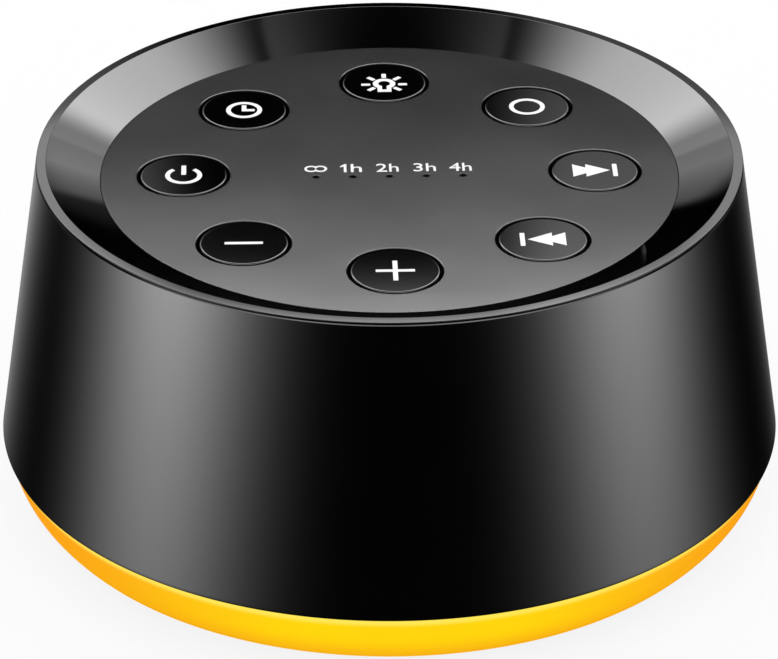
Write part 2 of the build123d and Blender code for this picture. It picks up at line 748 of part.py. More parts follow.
def speaker_cone():
    """The paper cone, from its flat edge on the surround up to its neck on the voice coil."""
    return turned(
        [
            (CONE_EDGE_R, CONE_EDGE_Z),
            (CONE_EDGE_R, CONE_EDGE_Z + CONE_T),
            (CONE_EDGE_R - CONE_FLAT + 0.3, CONE_EDGE_Z + CONE_T),
            (NECK_R, NECK_Z + CONE_T + 0.1),
            (NECK_R, NECK_Z),
            (CONE_EDGE_R - CONE_FLAT, CONE_EDGE_Z),
        ]
    )


def dust_cap():
    """A shallow dome over the cone's neck: a slice of a hollow ball."""
    edge_z = NECK_Z - CONE_SLOPE * (DUST_CAP_R - NECK_R) - 0.03
    tip_z = edge_z - DUST_CAP_RISE
    ball_r = (DUST_CAP_R**2 + DUST_CAP_RISE**2) / (2 * DUST_CAP_RISE)
    shell = Pos(0, 0, tip_z + ball_r) * (Sphere(ball_r) - Sphere(ball_r - DUST_CAP_T))
    return shell & rod(0, 0, DUST_CAP_R + RELEASE, tip_z - RELEASE, edge_z)


def voice_coil():
    """The coil former with its copper winding in the magnet's gap."""
    former_in_r = NECK_R - FORMER_T
    winding_z = MAGNET_Z - 0.5
    winding_top_z = MAGNET_Z + TOP_PLATE_T + 0.5
    return turned(
        [
            (former_in_r, NECK_Z - 0.2),
            (NECK_R, NECK_Z - 0.2),
            (NECK_R, winding_z),
            (COIL_R, winding_z),
            (COIL_R, winding_top_z),
            (former_in_r, winding_top_z),
        ]
    )


def speaker_spider():
    """The corrugated disc that centres the voice coil and climbs to the basket's ledge."""
    collar_r = NECK_R + 0.1
    first_r = collar_r + 0.6
    climb = (LEDGE_Z - SPIDER_COLLAR_Z) / (SPIDER_RIM_R - first_r)
    waves = 6
    pitch = (SPIDER_RIM_R - first_r) / (waves + 0.5)
    upper = [(collar_r, SPIDER_COLLAR_Z), (first_r, SPIDER_COLLAR_Z)]
    for i in range(waves):
        r = first_r + pitch * (i + 0.5)
        side = 1 if i % 2 else -1
        upper.append((r, SPIDER_COLLAR_Z + climb * (r - first_r) + side * SPIDER_WAVE))
    upper += [(SPIDER_RIM_R, LEDGE_Z), (LEDGE_OUT_R - 1.5, LEDGE_Z)]
    lower = [(r, z - SPIDER_T) for r, z in reversed(upper)]
    return turned(upper + lower)


def speaker_top_plate():
    """The steel ring round the voice coil."""
    return tube(GAP_R, 16.5, MAGNET_Z, MAGNET_Z + TOP_PLATE_T)


def speaker_magnet():
    """The ferrite ring magnet."""
    low = MAGNET_Z + TOP_PLATE_T
    ring_r = 18.5
    ring = tube(10.0, ring_r, low, low + MAGNET_T)
    rims = ring.edges().filter_by(GeomType.CIRCLE)
    return chamfer(rims.filter_by(lambda e: e.radius > ring_r - 0.5), 0.5)


def speaker_pole_piece():
    """The back plate with the pole inside the voice coil, bored through as a vent."""
    back = MAGNET_Z + TOP_PLATE_T + MAGNET_T
    top = back + BACK_PLATE_T
    piece = rod(0, 0, POLE_R, MAGNET_Z, top) + rod(0, 0, 17.0, back, top)
    return piece - rod(0, 0, 2.0, MAGNET_Z - RELEASE, top + RELEASE)


def speaker_gasket():
    """The foam ring between the basket and the base."""
    return tube(SPEAKER_SEAT_R, SPEAKER_R, SPEAKER_SEAT_Z, FLANGE_Z)


def speaker_terminals():
    """The upright board on the flange with two solder tags."""
    low = FLANGE_TOP_Z
    outer_x = TAG_X - TAG_T
    tag_half = 0.7
    board = block(outer_x, TAG_X, -TAG_W / 2, TAG_W / 2, low, low + TAG_H)
    for y in (-LEAD_Y, LEAD_Y):
        ends = (outer_x - TAG_PROUD, TAG_X + TAG_PROUD)
        board = board + block(*ends, y - tag_half, y + tag_half, low + 2.0, low + TAG_H - 1.0)
    return board


def tinsel_leads():
    """Two braided leads from the tags through a basket window to the back of the cone."""
    start_x = TAG_X + TAG_PROUD
    start_z = FLANGE_TOP_Z + 3.6
    leads = []
    for y in (-LEAD_Y, LEAD_Y):
        points = [
            (start_x, y, start_z),
            (start_x + 2.0, y, start_z),
            (-20.0, y, start_z + 2.3),
            (-15.0, y, start_z + 2.2),
            (-12.6, y, start_z + 1.3),
        ]
        leads.append(wire(points, 2.0, LEAD_R))
    return joined(leads)


def speaker_screws():
    """Four screws through the basket's ears into the base."""
    return screws_on_ring(EAR_RING_R, QUARTERS, FLANGE_TOP_Z, BASE_TOP_Z + 0.7, *SMALL_SCREW)


def speaker_wires():
    """Two insulated wires from the tags up to the underside of the main board."""
    start_x = TAG_X - TAG_T - TAG_PROUD
    start_z = FLANGE_TOP_Z + 3.3
    wires = []
    for y in (-LEAD_Y, LEAD_Y):
        points = [
            (start_x, y, start_z),
            (start_x - 2.6, y, start_z),
            (start_x - 3.2, y, start_z + 7),
            (start_x - 0.6, y, start_z + 13),
            (start_x - 0.6, y, MAIN_BOARD_Z),
        ]
        wires.append(wire(points, 1.8, WIRE_R))
    return joined(wires)


def grille_cloth():
    """The dust cloth glued inside the base over the grille holes."""
    return rod(0, 0, CLOTH_R, BASE_TOP_Z, BASE_TOP_Z + CLOTH_T)


# ---- Night light ----
def light_board():
    """The ring-shaped circuit board of the night light."""
    return tube(LIGHT_BOARD_IN_R, LIGHT_BOARD_OUT_R, BASE_TOP_Z, BASE_TOP_Z + LIGHT_BOARD_T)


def night_light_leds():
    """Twelve lamps on the light board."""
    low = BASE_TOP_Z + LIGHT_BOARD_T
    step = 360 / LIGHT_LED_COUNT
    half_x = 1.4
    half_y = 1.75
    height = 1.9
    ends = (LIGHT_LED_RING_R - half_x, LIGHT_LED_RING_R + half_x)
    lamp = block(*ends, -half_y, half_y, low, low + height)
    return joined([Rot(0, 0, step * (i + 0.5)) * lamp for i in range(LIGHT_LED_COUNT)])


def light_reflector():
    """The white cone over the lamps that throws their light out through the ring."""
    low = BASE_TOP_Z + LIGHT_BOARD_T
    return turned(
        [
            (REFLECTOR_IN_R, low),
            (REFLECTOR_IN_R + 1.0, low),
            (REFLECTOR_IN_R + 1.0, low + 2.8),
            (REFLECTOR_OUT_R, low + 6.0),
            (REFLECTOR_OUT_R, low + 6.8),
            (REFLECTOR_IN_R, low + 3.6),
        ]
    )


def light_ring():
    """The translucent ring: a slightly bulging wall, a tongue inside the shell and a foot on the base."""
    foot_r = BASE_R + 0.1
    corner_r = 0.9
    bottom_r = 50.8
    top_r = 54.35
    top = SHELL_BOTTOM_Z
    bulge_r = (top_r + bottom_r) / 2 + 0.62
    bulge_z = (top + FOOT_H + corner_r) / 2 - 0.2
    outline = [
        ThreePointArc((top_r, 0, top), (bulge_r, 0, bulge_z), (bottom_r, 0, FOOT_H + corner_r)),
        ThreePointArc(
            (bottom_r, 0, FOOT_H + corner_r),
            (bottom_r - 0.36, 0, FOOT_H + 0.26),
            (bottom_r - corner_r, 0, FOOT_H),
        ),
    ]
    inside = [
        (bottom_r - corner_r, FOOT_H),
        (foot_r, FOOT_H),
        (foot_r, BASE_TOP_Z),
        (foot_r - 1.6, BASE_TOP_Z),
        (foot_r - 1.6, BASE_TOP_Z + LIGHT_BOARD_T),
        (foot_r + 0.2, BASE_TOP_Z + LIGHT_BOARD_T),
        (TONGUE_IN_R, top - TONGUE_H),
        (TONGUE_IN_R, top + TONGUE_H),
        (TONGUE_OUT_R, top + TONGUE_H),
        (TONGUE_OUT_R, top),
        (top_r, top),
    ]
    outline.append(Polyline(*[(r, 0, z) for r, z in inside]))
    return revolve(make_face(outline), Axis.Z)


def light_wires():
    """Two wires from the underside of the main board down to the light board."""
    start_r = 35.8
    land_r = 41.35
    wires = []
    for y in (-0.9, 0.9):
        points = [
            (start_r, y, MAIN_BOARD_Z),
            (start_r, y, 25.0),
            (39.6, y, 18.0),
            (land_r, y, 11.5),
            (land_r, y, BASE_TOP_Z + LIGHT_BOARD_T),
        ]
        wires.append(wire(points, 5.0, LIGHT_WIRE_R))
    return joined(wires)


# ---- Base ----
def grille_points():
    """Centres of a hexagonal field of sound holes, without its six outer corners."""
    points = []
    reach = 0.95 * GRILLE_PITCH * GRILLE_RINGS
    for q in range(-GRILLE_RINGS, GRILLE_RINGS + 1):
        for r in range(-GRILLE_RINGS, GRILLE_RINGS + 1):
            x = GRILLE_PITCH * (q + r / 2)
            y = GRILLE_PITCH * r * sin(radians(60))
            if (x * x + y * y) ** 0.5 < reach:
                points.append((x, y))
    return points


def base_cover():
    """The bottom cover: sound holes, foot recesses, screw wells, speaker seat and board posts."""
    edge = 0.4
    cover = turned(
        [
            (0, FOOT_H),
            (BASE_R - edge, FOOT_H),
            (BASE_R, FOOT_H + edge),
            (BASE_R, BASE_TOP_Z),
            (0, BASE_TOP_Z),
        ]
    )
    cover = cover + tube(SPEAKER_SEAT_R, SPEAKER_R, BASE_TOP_Z, SPEAKER_SEAT_Z)
    below = FOOT_H - RELEASE
    relief = rod(0, 0, SPEAKER_R, SPEAKER_SEAT_Z, FLANGE_Z + RELEASE)
    boss_ring = (BASE_SCREW_RING_R, DIAGONALS)
    post_ring = (BOARD_POST_RING_R, BOARD_POST_ANGLES)
    ears = rods_on_ring(EAR_RING_R, QUARTERS, EAR_R, BASE_TOP_Z, FLANGE_Z)
    added = [ear - relief for ear in ears]
    added += rods_on_ring(*boss_ring, BASE_BOSS_R, BASE_TOP_Z, BASE_BOSS_TOP_Z)
    added += rods_on_ring(*post_ring, BASE_POST_R, BASE_TOP_Z, MAIN_BOARD_Z)
    for piece in added:
        cover = cover + piece
    hole_r = BASE_SCREW_R + 0.15
    recess_z = FOOT_H + FOOT_RECESS
    removed = rods_on_ring(EAR_RING_R, QUARTERS, PILOT_R, BASE_TOP_Z, FLANGE_Z + RELEASE)
    removed += rods_on_ring(*boss_ring, COUNTERBORE_R, below, COUNTERBORE_TOP_Z)
    removed += rods_on_ring(*boss_ring, hole_r, FOOT_H, BASE_BOSS_TOP_Z + RELEASE)
    removed += rods_on_ring(*post_ring, PILOT_R, MAIN_BOARD_Z - 6.4, MAIN_BOARD_Z + RELEASE)
    removed += rods_on_ring(FOOT_RING_R, QUARTERS, FOOT_R + 0.1, below, recess_z)
    for x, y in grille_points():
        removed.append(rod(x, y, GRILLE_HOLE_R, below, BASE_TOP_Z + RELEASE))
    for piece in removed:
        cover = cover - piece
    return cover


def base_screws():
    """Four screws from the wells in the base up into the shell's bosses."""
    ends = (COUNTERBORE_TOP_Z, SHELL_PILOT_TOP_Z - 1.0)
    sizes = (BASE_HEAD_R, BASE_SCREW_R, BASE_HEAD_H)
    return screws_on_ring(BASE_SCREW_RING_R, DIAGONALS, *ends, *sizes, slot=0.8)


def rubber_feet():
    """Four round feet glued into their recesses."""
    feet = []
    for foot in rods_on_ring(FOOT_RING_R, QUARTERS, FOOT_R, 0, FOOT_H + FOOT_RECESS):
        feet.append(fillet(bottom_rim(foot), FOOT_EDGE_R))
    return joined(feet)


# ---- Every node and the solid that fills it ----
NODES = {
    "outer_shell": outer_shell,
    "top_bezel": top_bezel,
    "control_plate": control_plate,
    "switch_housings": switch_housings,
    "key_board": key_board,
    "key_board_screws": key_board_screws,
    "indicator_leds": indicator_leds,
    "indicator_light_guide": indicator_light_guide,
    "ribbon_connectors": ribbon_connectors,
    "ribbon_cable": ribbon_cable,
    "bezel_screws": bezel_screws,
    "main_board": main_board,
    "main_board_screws": main_board_screws,
    "sound_chip": sound_chip,
    "amplifier_chip": amplifier_chip,
    "memory_chip": memory_chip,
    "electrolytic_capacitors": electrolytic_capacitors,
    "power_inductor": power_inductor,
    "small_components": small_components,
    "power_socket_shell": power_socket_shell,
    "power_socket_insulator": power_socket_insulator,
    "speaker_basket": speaker_basket,
    "speaker_magnet": speaker_magnet,
    "speaker_top_plate": speaker_top_plate,
    "speaker_pole_piece": speaker_pole_piece,
    "voice_coil": voice_coil,
    "speaker_cone": speaker_cone,
    "dust_cap": dust_cap,
    "speaker_spider": speaker_spider,
    "speaker_surround": speaker_surround,
    "speaker_gasket": speaker_gasket,
    "speaker_terminals": speaker_terminals,
    "tinsel_leads": tinsel_leads,
    "speaker_screws": speaker_screws,
    "speaker_wires": speaker_wires,
    "grille_cloth": grille_cloth,
    "light_board": light_board,
    "night_light_leds": night_light_leds,
    "light_reflector": light_reflector,
    "light_ring": light_ring,
    "light_wires": light_wires,
    "base_cover": base_cover,
    "base_screws": base_screws,
    "rubber_feet": rubber_feet,
}

os.makedirs("parts", exist_ok=True)
for node, make in NODES.items():
    export_step(make(), f"parts/{node}.step")
for name, angle in KEY_ANGLES.items():
    export_step(key_cap(angle), f"parts/key_{name}.step")
    export_step(switch_plunger(angle), f"parts/switch_plunger_{name}.step")
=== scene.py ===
"""White noise sound machine: finished surfaces, materials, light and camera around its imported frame.

Lengths in this file are millimetres until a mesh is written, which is in metres. The frame has its
origin at the middle of the base on the plane of the feet, +Z up, the front at -Y.
"""
import logging
from dataclasses import dataclass, field
from enum import Enum
from math import cos, radians, sin
from typing import Callable, Sequence

import bpy
import numpy as np
from mathutils import Matrix, Vector
from mathutils.geometry import tessellate_polygon


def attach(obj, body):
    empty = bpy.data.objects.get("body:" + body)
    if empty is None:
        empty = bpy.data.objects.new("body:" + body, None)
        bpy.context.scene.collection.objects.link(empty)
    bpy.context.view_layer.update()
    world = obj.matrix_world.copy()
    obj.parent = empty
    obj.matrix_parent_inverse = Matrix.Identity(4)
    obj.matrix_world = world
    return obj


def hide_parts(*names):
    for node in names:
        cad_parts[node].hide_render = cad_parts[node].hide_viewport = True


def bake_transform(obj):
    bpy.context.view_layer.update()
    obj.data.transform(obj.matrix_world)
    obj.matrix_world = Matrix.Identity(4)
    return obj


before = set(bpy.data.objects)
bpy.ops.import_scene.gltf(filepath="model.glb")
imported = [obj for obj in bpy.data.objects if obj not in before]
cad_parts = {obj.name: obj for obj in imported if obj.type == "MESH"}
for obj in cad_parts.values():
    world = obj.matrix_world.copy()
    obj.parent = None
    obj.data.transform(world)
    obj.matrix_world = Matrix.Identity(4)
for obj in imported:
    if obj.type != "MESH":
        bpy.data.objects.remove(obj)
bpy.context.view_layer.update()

MM = 0.001
TINY = 1e-9
FULL_TURN = 6.2832
DIAGONALS = (45, 135, 225, 315)
WHITE = (1.0, 1.0, 1.0, 1.0)
Rgb = tuple[float, float, float]
Point = tuple[float, float]
Corner = tuple[float, float, float]
Shapes = list[list[np.ndarray]]
Socket = bpy.types.NodeSocket
Sockets = bpy.types.bpy_prop_collection
log = logging.getLogger("sound_machine")


# ---- Surfaces ----
def polar(r: float, degrees: float) -> Point:
    """The point at this radius and angle."""
    return r * cos(radians(degrees)), r * sin(radians(degrees))


@dataclass
class Surface:
    """Points, outward normals and faces in millimetres.

    Args:
        points: one row per point.
        normals: one row per point. A longer one counts for more where points are made one.
        quads: four point numbers a face, anticlockwise from outside.
        tris: three point numbers a face.
    """

    points: np.ndarray
    normals: np.ndarray
    quads: np.ndarray = field(default_factory=lambda: np.zeros((0, 4), int))
    tris: np.ndarray = field(default_factory=lambda: np.zeros((0, 3), int))

    def moved(self, x: float, y: float, z: float = 0.0) -> "Surface":
        """The same surface shifted by x, y and z."""
        return Surface(self.points + np.array((x, y, z)), self.normals, self.quads, self.tris)

    def turned(self, degrees: float) -> "Surface":
        """The same surface turned about the Z axis.

        Args:
            degrees: the angle, anticlockwise seen from above.

        Returns:
            The turned surface.
        """
        c, s = polar(1.0, degrees)
        turn = np.array(((c, s, 0), (-s, c, 0), (0, 0, 1)))
        return Surface(self.points @ turn, self.normals @ turn, self.quads, self.tris)

    def flipped(self) -> "Surface":
        """The same surface with its faces turned to the other side."""
        return Surface(self.points, -self.normals, self.quads[:, ::-1], self.tris[:, ::-1])


def joined(surfaces: Sequence[Surface]) -> Surface:
    """One surface out of several, with the points that fall together made one.

    Points are rounded to a ten-thousandth of a millimetre to be compared, their normals are
    averaged, and a quad with two equal corners becomes a triangle.

    Args:
        surfaces: the parts.

    Returns:
        The joined surface.
    """
    starts = np.cumsum([0] + [len(s.points) for s in surfaces])
    points = np.concatenate([s.points for s in surfaces])
    normals = np.concatenate([s.normals for s in surfaces])
    _, first, same = np.unique(points.round(4), axis=0, return_index=True, return_inverse=True)
    same = same.reshape(-1)
    quads = same[np.concatenate([s.quads + k for s, k in zip(surfaces, starts)])]
    tris = same[np.concatenate([s.tris + k for s, k in zip(surfaces, starts)])]
    total = np.zeros((len(first), 3))
    np.add.at(total, same, normals)
    length = np.linalg.norm(total, axis=1, keepdims=True)
    total = np.where(length > TINY, total / np.maximum(length, TINY), (0.0, 0.0, 1.0))
    start_shut = (quads[:, 0] == quads[:, 1]) | (quads[:, 1] == quads[:, 2])
    end_shut = (quads[:, 2] == quads[:, 3]) | (quads[:, 3] == quads[:, 0])
    start_fans = quads[start_shut & ~end_shut][:, [0, 2, 3]]
    end_fans = quads[end_shut & ~start_shut][:, [0, 1, 2]]
    tris = np.concatenate([tris, start_fans, end_fans])
    distinct = (tris[:, 0] != tris[:, 1]) & (tris[:, 1] != tris[:, 2]) & (tris[:, 2] != tris[:, 0])
    return Surface(points[first], total, quads[~start_shut & ~end_shut], tris[distinct])


def grid(rings: np.ndarray, keep: np.ndarray | None = None, loop: bool = False) -> Surface:
    """A surface through a stack of closed rings with equally many points each.

    The normal at a point is the cross product of the step round its ring and the step from the ring
    before to the ring after. On a ring that has shrunk to a point it is the next ring's mean normal.

    Args:
        rings: an array of rings by points by three.
        keep: which cells between two rings are filled, all of them if not given.
        loop: the last ring is joined to the first.

    Returns:
        The surface.
    """
    count, around = rings.shape[:2]
    across = np.roll(rings, -1, axis=1) - np.roll(rings, 1, axis=1)
    along = np.roll(rings, -1, axis=0) - np.roll(rings, 1, axis=0) if loop else np.gradient(rings, axis=0)
    normals = np.cross(across, along)
    normals = normals / np.maximum(np.linalg.norm(normals, axis=2, keepdims=True), 1e-12)
    for end, beside in ((0, 1), (-1, -2)):
        if np.abs(across[end]).max() < TINY:
            mean = normals[beside].mean(axis=0)
            normals[end] = mean / np.linalg.norm(mean)
    number = np.arange(count * around).reshape(count, around)
    if loop:
        number = np.concatenate([number, number[:1]])
    low, high = number[:-1], number[1:]
    cells = np.stack([low, np.roll(low, -1, axis=1), np.roll(high, -1, axis=1), high], axis=2)
    cells = cells.reshape(-1, 4) if keep is None else cells[keep]
    return Surface(rings.reshape(-1, 3), normals.reshape(-1, 3), cells)


def rounded(corners: Sequence[Corner], steps: int = 4, closed: bool = True) -> np.ndarray:
    """A profile whose corners are arcs.

    Each corner is (radius, height, size of its arc). The arc touches both sides, so its middle lies
    on the corner's bisector at size / sin(half the angle between the sides).

    Args:
        corners: the corners in order, anticlockwise with radius to the right and height up.
        steps: segments in each arc.
        closed: the last corner is joined to the first. Otherwise the two ends are left out.

    Returns:
        Points as rows of (radius, height).
    """
    spots = np.array([c[:2] for c in corners], float)
    runs = []
    for k, (here, size) in enumerate(zip(spots, [c[2] for c in corners])):
        if not closed and k in (0, len(spots) - 1):
            continue
        if size == 0:
            runs.append(here[None])
            continue
        back, ahead = spots[k - 1] - here, spots[(k + 1) % len(spots)] - here
        back, ahead = back / np.linalg.norm(back), ahead / np.linalg.norm(ahead)
        half = np.arccos(np.clip(back @ ahead, -1, 1)) / 2
        bisector = (back + ahead) / np.linalg.norm(back + ahead)
        middle = here + bisector * size / np.sin(half)
        start = here + back * size / np.tan(half) - middle
        end = here + ahead * size / np.tan(half) - middle
        sweep = np.pi - 2 * half
        t = np.linspace(0, 1, steps + 1)[:, None]
        runs.append(middle + (np.sin((1 - t) * sweep) * start + np.sin(t * sweep) * end) / np.sin(sweep))
    return np.concatenate(runs)


def capped(corners: Sequence[Corner], steps: int = 4) -> np.ndarray:
    """A profile with rounded corners and sharp ends, mostly for a turned piece that ends on its axis."""
    ends = np.array([corners[0][:2], corners[-1][:2]], float)
    return np.concatenate([ends[:1], rounded(corners, steps, False), ends[1:]])


def lathe(profile: np.ndarray, around: int = 192, loop: bool = True, radius: Callable | None = None,
          keep: np.ndarray | None = None) -> Surface:
    """A profile turned about the Z axis: a point is (r cos a, r sin a, z).

    Args:
        profile: rows of (radius, height), anticlockwise, so that faces point outwards.
        around: segments in a full turn.
        loop: the profile is closed.
        radius: changes the radius at each angle, given (radius, angle).
        keep: which cells are filled, all of them if not given.

    Returns:
        The turned surface.
    """
    angle = np.arange(around) * 2 * np.pi / around
    r, z = np.repeat(profile[:, :1], around, axis=1), np.repeat(profile[:, 1:], around, axis=1)
    if radius is not None:
        r = radius(r, angle[None])
    return grid(np.stack([r * np.cos(angle), r * np.sin(angle), z], axis=2), keep, loop)


def circle(r: float, x: float = 0.0, y: float = 0.0, around: int = 64) -> np.ndarray:
    """Points round a circle, anticlockwise, starting on its +X side."""
    angle = np.arange(around) * 2 * np.pi / around
    return np.stack([x + r * np.cos(angle), y + r * np.sin(angle)], axis=1)


def arc(r: float, start: float, end: float, x: float = 0.0, y: float = 0.0, steps: int = 40) -> np.ndarray:
    """Points along an arc between two angles in degrees."""
    angle = np.radians(np.linspace(start, end, steps + 1))
    return np.stack([x + r * np.cos(angle), y + r * np.sin(angle)], axis=1)


def flat_face(outlines: Sequence[np.ndarray], z: float, up: bool = True) -> Surface:
    """A flat face with holes, made of triangles. It decides the shading of the edges that it shares.

    Args:
        outlines: the outer outline and then the holes, as rows of (x, y).
        z: its height.
        up: which way it faces.

    Returns:
        The face.
    """
    weight = 100.0
    points = np.concatenate(outlines)
    points = np.column_stack([points, np.full(len(points), z)])
    tris = np.array(tessellate_polygon([[Vector((x, y, 0)) for x, y in o] for o in outlines]), int)
    a, b, c = (points[tris[:, k]] for k in range(3))
    facing = np.cross(b - a, c - a)[:, 2]
    tris = tris[np.abs(facing) > TINY]
    turn = (facing[np.abs(facing) > TINY] > 0) != up
    tris[turn] = tris[turn][:, ::-1]
    normals = np.tile((0.0, 0.0, weight if up else -weight), (len(points), 1))
    return Surface(points, normals, tris=tris)


def rectangle(a: Point, b: Point, facing: Corner, place: Callable) -> Surface:
    """A flat rectangle.

    Args:
        a, b: its lower left and upper right corners.
        facing: its normal.
        place: turns two coordinates on it into a point.
    """
    corners = [place(*spot) for spot in (a, (b[0], a[1]), b, (a[0], b[1]))]
    return Surface(np.array(corners, float), np.tile(facing, (4, 1)), np.array([[0, 1, 2, 3]]))


def rounded_outline(half_w: float, half_h: float, size: float, across: int, up: int) -> np.ndarray:
    """A rounded rectangle by clamping: the points of a rectangle's border are pulled to the core
    rectangle that is smaller by the corner size, and pushed out from there by that size.

    Args:
        half_w, half_h: half the width and half the height.
        size: corner size.
        across, up: cells along the width and along the height.

    Returns:
        2 * (across + up) points, anticlockwise from the lower left.
    """
    u, v = np.linspace(-1, 1, across + 1), np.linspace(-1, 1, up + 1)
    sides = [
        np.column_stack([u[:-1], np.full(across, -1.0)]),
        np.column_stack([np.full(up, 1.0), v[:-1]]),
        np.column_stack([u[:0:-1], np.full(across, 1.0)]),
        np.column_stack([np.full(up, -1.0), v[:0:-1]]),
    ]
    border = np.concatenate(sides) * (half_w, half_h)
    core = np.array((half_w - size, half_h - size))
    inside = np.clip(border, -core, core)
    push = border - inside
    return inside + size * push / np.maximum(np.linalg.norm(push, axis=1, keepdims=True), TINY)


def prism(outlines: Sequence[np.ndarray], low: float, high: float) -> Surface:
    """A closed flat shape with upright sides: an outer outline, then the outlines of its holes.

    Args:
        outlines: the outer outline and then the holes, anticlockwise.
        low, high: heights of its two flat faces.

    Returns:
        The closed shape.
    """
    faces = [flat_face(outlines, high), flat_face(outlines, low, up=False)]
    for outline in [outlines[0]] + [hole[::-1] for hole in outlines[1:]]:
        ends = [np.column_stack([outline, np.full(len(outline), z)]) for z in (low, high)]
        faces.append(grid(np.stack(ends)))
    return joined(faces)


def tube(r_in: float, r_out: float, low: float, high: float, edge: float = 0.15) -> Surface:
    """An upright tube with rounded edges."""
    corners = [(r_in, low, edge), (r_out, low, edge), (r_out, high, edge), (r_in, high, edge)]
    return lathe(rounded(corners, 3), 48)


def ring_of(surface: Surface, r: float, angles: Sequence[float]) -> list[Surface]:
    """Copies of a surface round the Z axis, not turned."""
    return [surface.moved(*polar(r, angle)) for angle in angles]


def make_object(name: str, surface: Surface, sharp: bool = False) -> bpy.types.Object:
    """Writes a surface into a new mesh object, in metres.

    Args:
        name: name of the piece.
        surface: its points and faces.
        sharp: faces keep their own flat shading.

    Returns:
        The object, which sits at the origin.
    """
    surface = joined([surface])
    mesh = bpy.data.meshes.new(name)
    faces = surface.quads.tolist() + surface.tris.tolist()
    mesh.from_pydata(surface.points * MM, [], faces, shade_flat=sharp)
    mesh.update()
    if not sharp:
        mesh.normals_split_custom_set_from_vertices(surface.normals.tolist())
    obj = bpy.data.objects.new(name, mesh)
    bpy.context.scene.collection.objects.link(obj)
    return obj


# ---- Shader helpers ----
class Graph:
    """A node tree that is filled by short calls."""

    def __init__(self, tree: bpy.types.NodeTree) -> None:
        """Keeps the tree and empties it."""
        self.tree = tree
        tree.nodes.clear()

    def feed(self, socket: Socket, value: object) -> None:
        """Gives a socket its value, or the socket that feeds it.

        Args:
            socket: the socket.
            value: its value, or the socket that feeds it.
        """
        if isinstance(value, Socket):
            self.tree.links.new(value, socket)
        else:
            socket.default_value = value

    def node(self, kind: str, inputs: dict | None = None, **settings: object) -> Sockets:
        """Adds a node.

        Args:
            kind: the node's type.
            inputs: socket name or number to a value, or to the socket that feeds it.
            settings: the node's own properties.

        Returns:
            The node's outputs.
        """
        made = self.tree.nodes.new(kind)
        for name, value in settings.items():
            setattr(made, name, value)
        for name, value in (inputs or {}).items():
            self.feed(made.inputs[name], value)
        return made.outputs

    def math(self, operation: str, first: object, *others: object) -> Socket:
        """The result of a Math node, or of a chain of them where there are more than two values.

        Args:
            operation: what the nodes do.
            first, others: values, or the sockets that feed them.

        Returns:
            The last node's output.
        """
        result = first
        for other in others or (0.0,):
            result = self.node("ShaderNodeMath", {0: result, 1: other}, operation=operation)[0]
        return result

    def ramp(self, value: object, low: float, high: float, at_low: float = 0.0,
             at_high: float = 1.0) -> Socket:
        """A smooth step from one value to another."""
        inputs = {"Value": value, "From Min": low, "From Max": high, "To Min": at_low, "To Max": at_high}
        return self.node("ShaderNodeMapRange", inputs, interpolation_type="SMOOTHSTEP")["Result"]

    def mix(self, share: object, a: object, b: object) -> Socket:
        """A mix of two colours.

        Args:
            share: 0 gives a and 1 gives b.
            a, b: colours, or the sockets that feed them.

        Returns:
            The mixed colour.
        """
        made = self.tree.nodes.new("ShaderNodeMix")
        made.data_type = "RGBA"
        values = {"Factor_Float": share, "A_Color": a, "B_Color": b}
        for socket in made.inputs:
            if socket.identifier in values:
                self.feed(socket, values[socket.identifier])
        return next(s for s in made.outputs if s.identifier == "Result_Color")

    def place(self) -> Socket:
        """The place on the object."""
        return self.node("ShaderNodeTexCoord")["Object"]

    def axes(self, vector: Socket) -> Sockets:
        """The X, Y and Z of a vector."""
        return self.node("ShaderNodeSeparateXYZ", {"Vector": vector})

    def noise(self, place: Socket, scale: object, detail: float = 2.0) -> Socket:
        """Cloudy noise."""
        return self.node("ShaderNodeTexNoise", {"Vector": place, "Scale": scale, "Detail": detail})["Fac"]


def new_material(name: str) -> tuple[bpy.types.Material, Graph]:
    """A material and the graph of its nodes.

    Args:
        name: the material's name.

    Returns:
        The material and its graph.
    """
    made = bpy.data.materials.new(name)
    made.use_nodes = True
    return made, Graph(made.node_tree)


def rgba(color: Rgb, gain: float = 1.0) -> tuple[float, float, float, float]:
    """A colour with its alpha, made lighter or darker by gain."""
    return tuple(min(c * gain, 1.0) for c in color) + (1.0,)


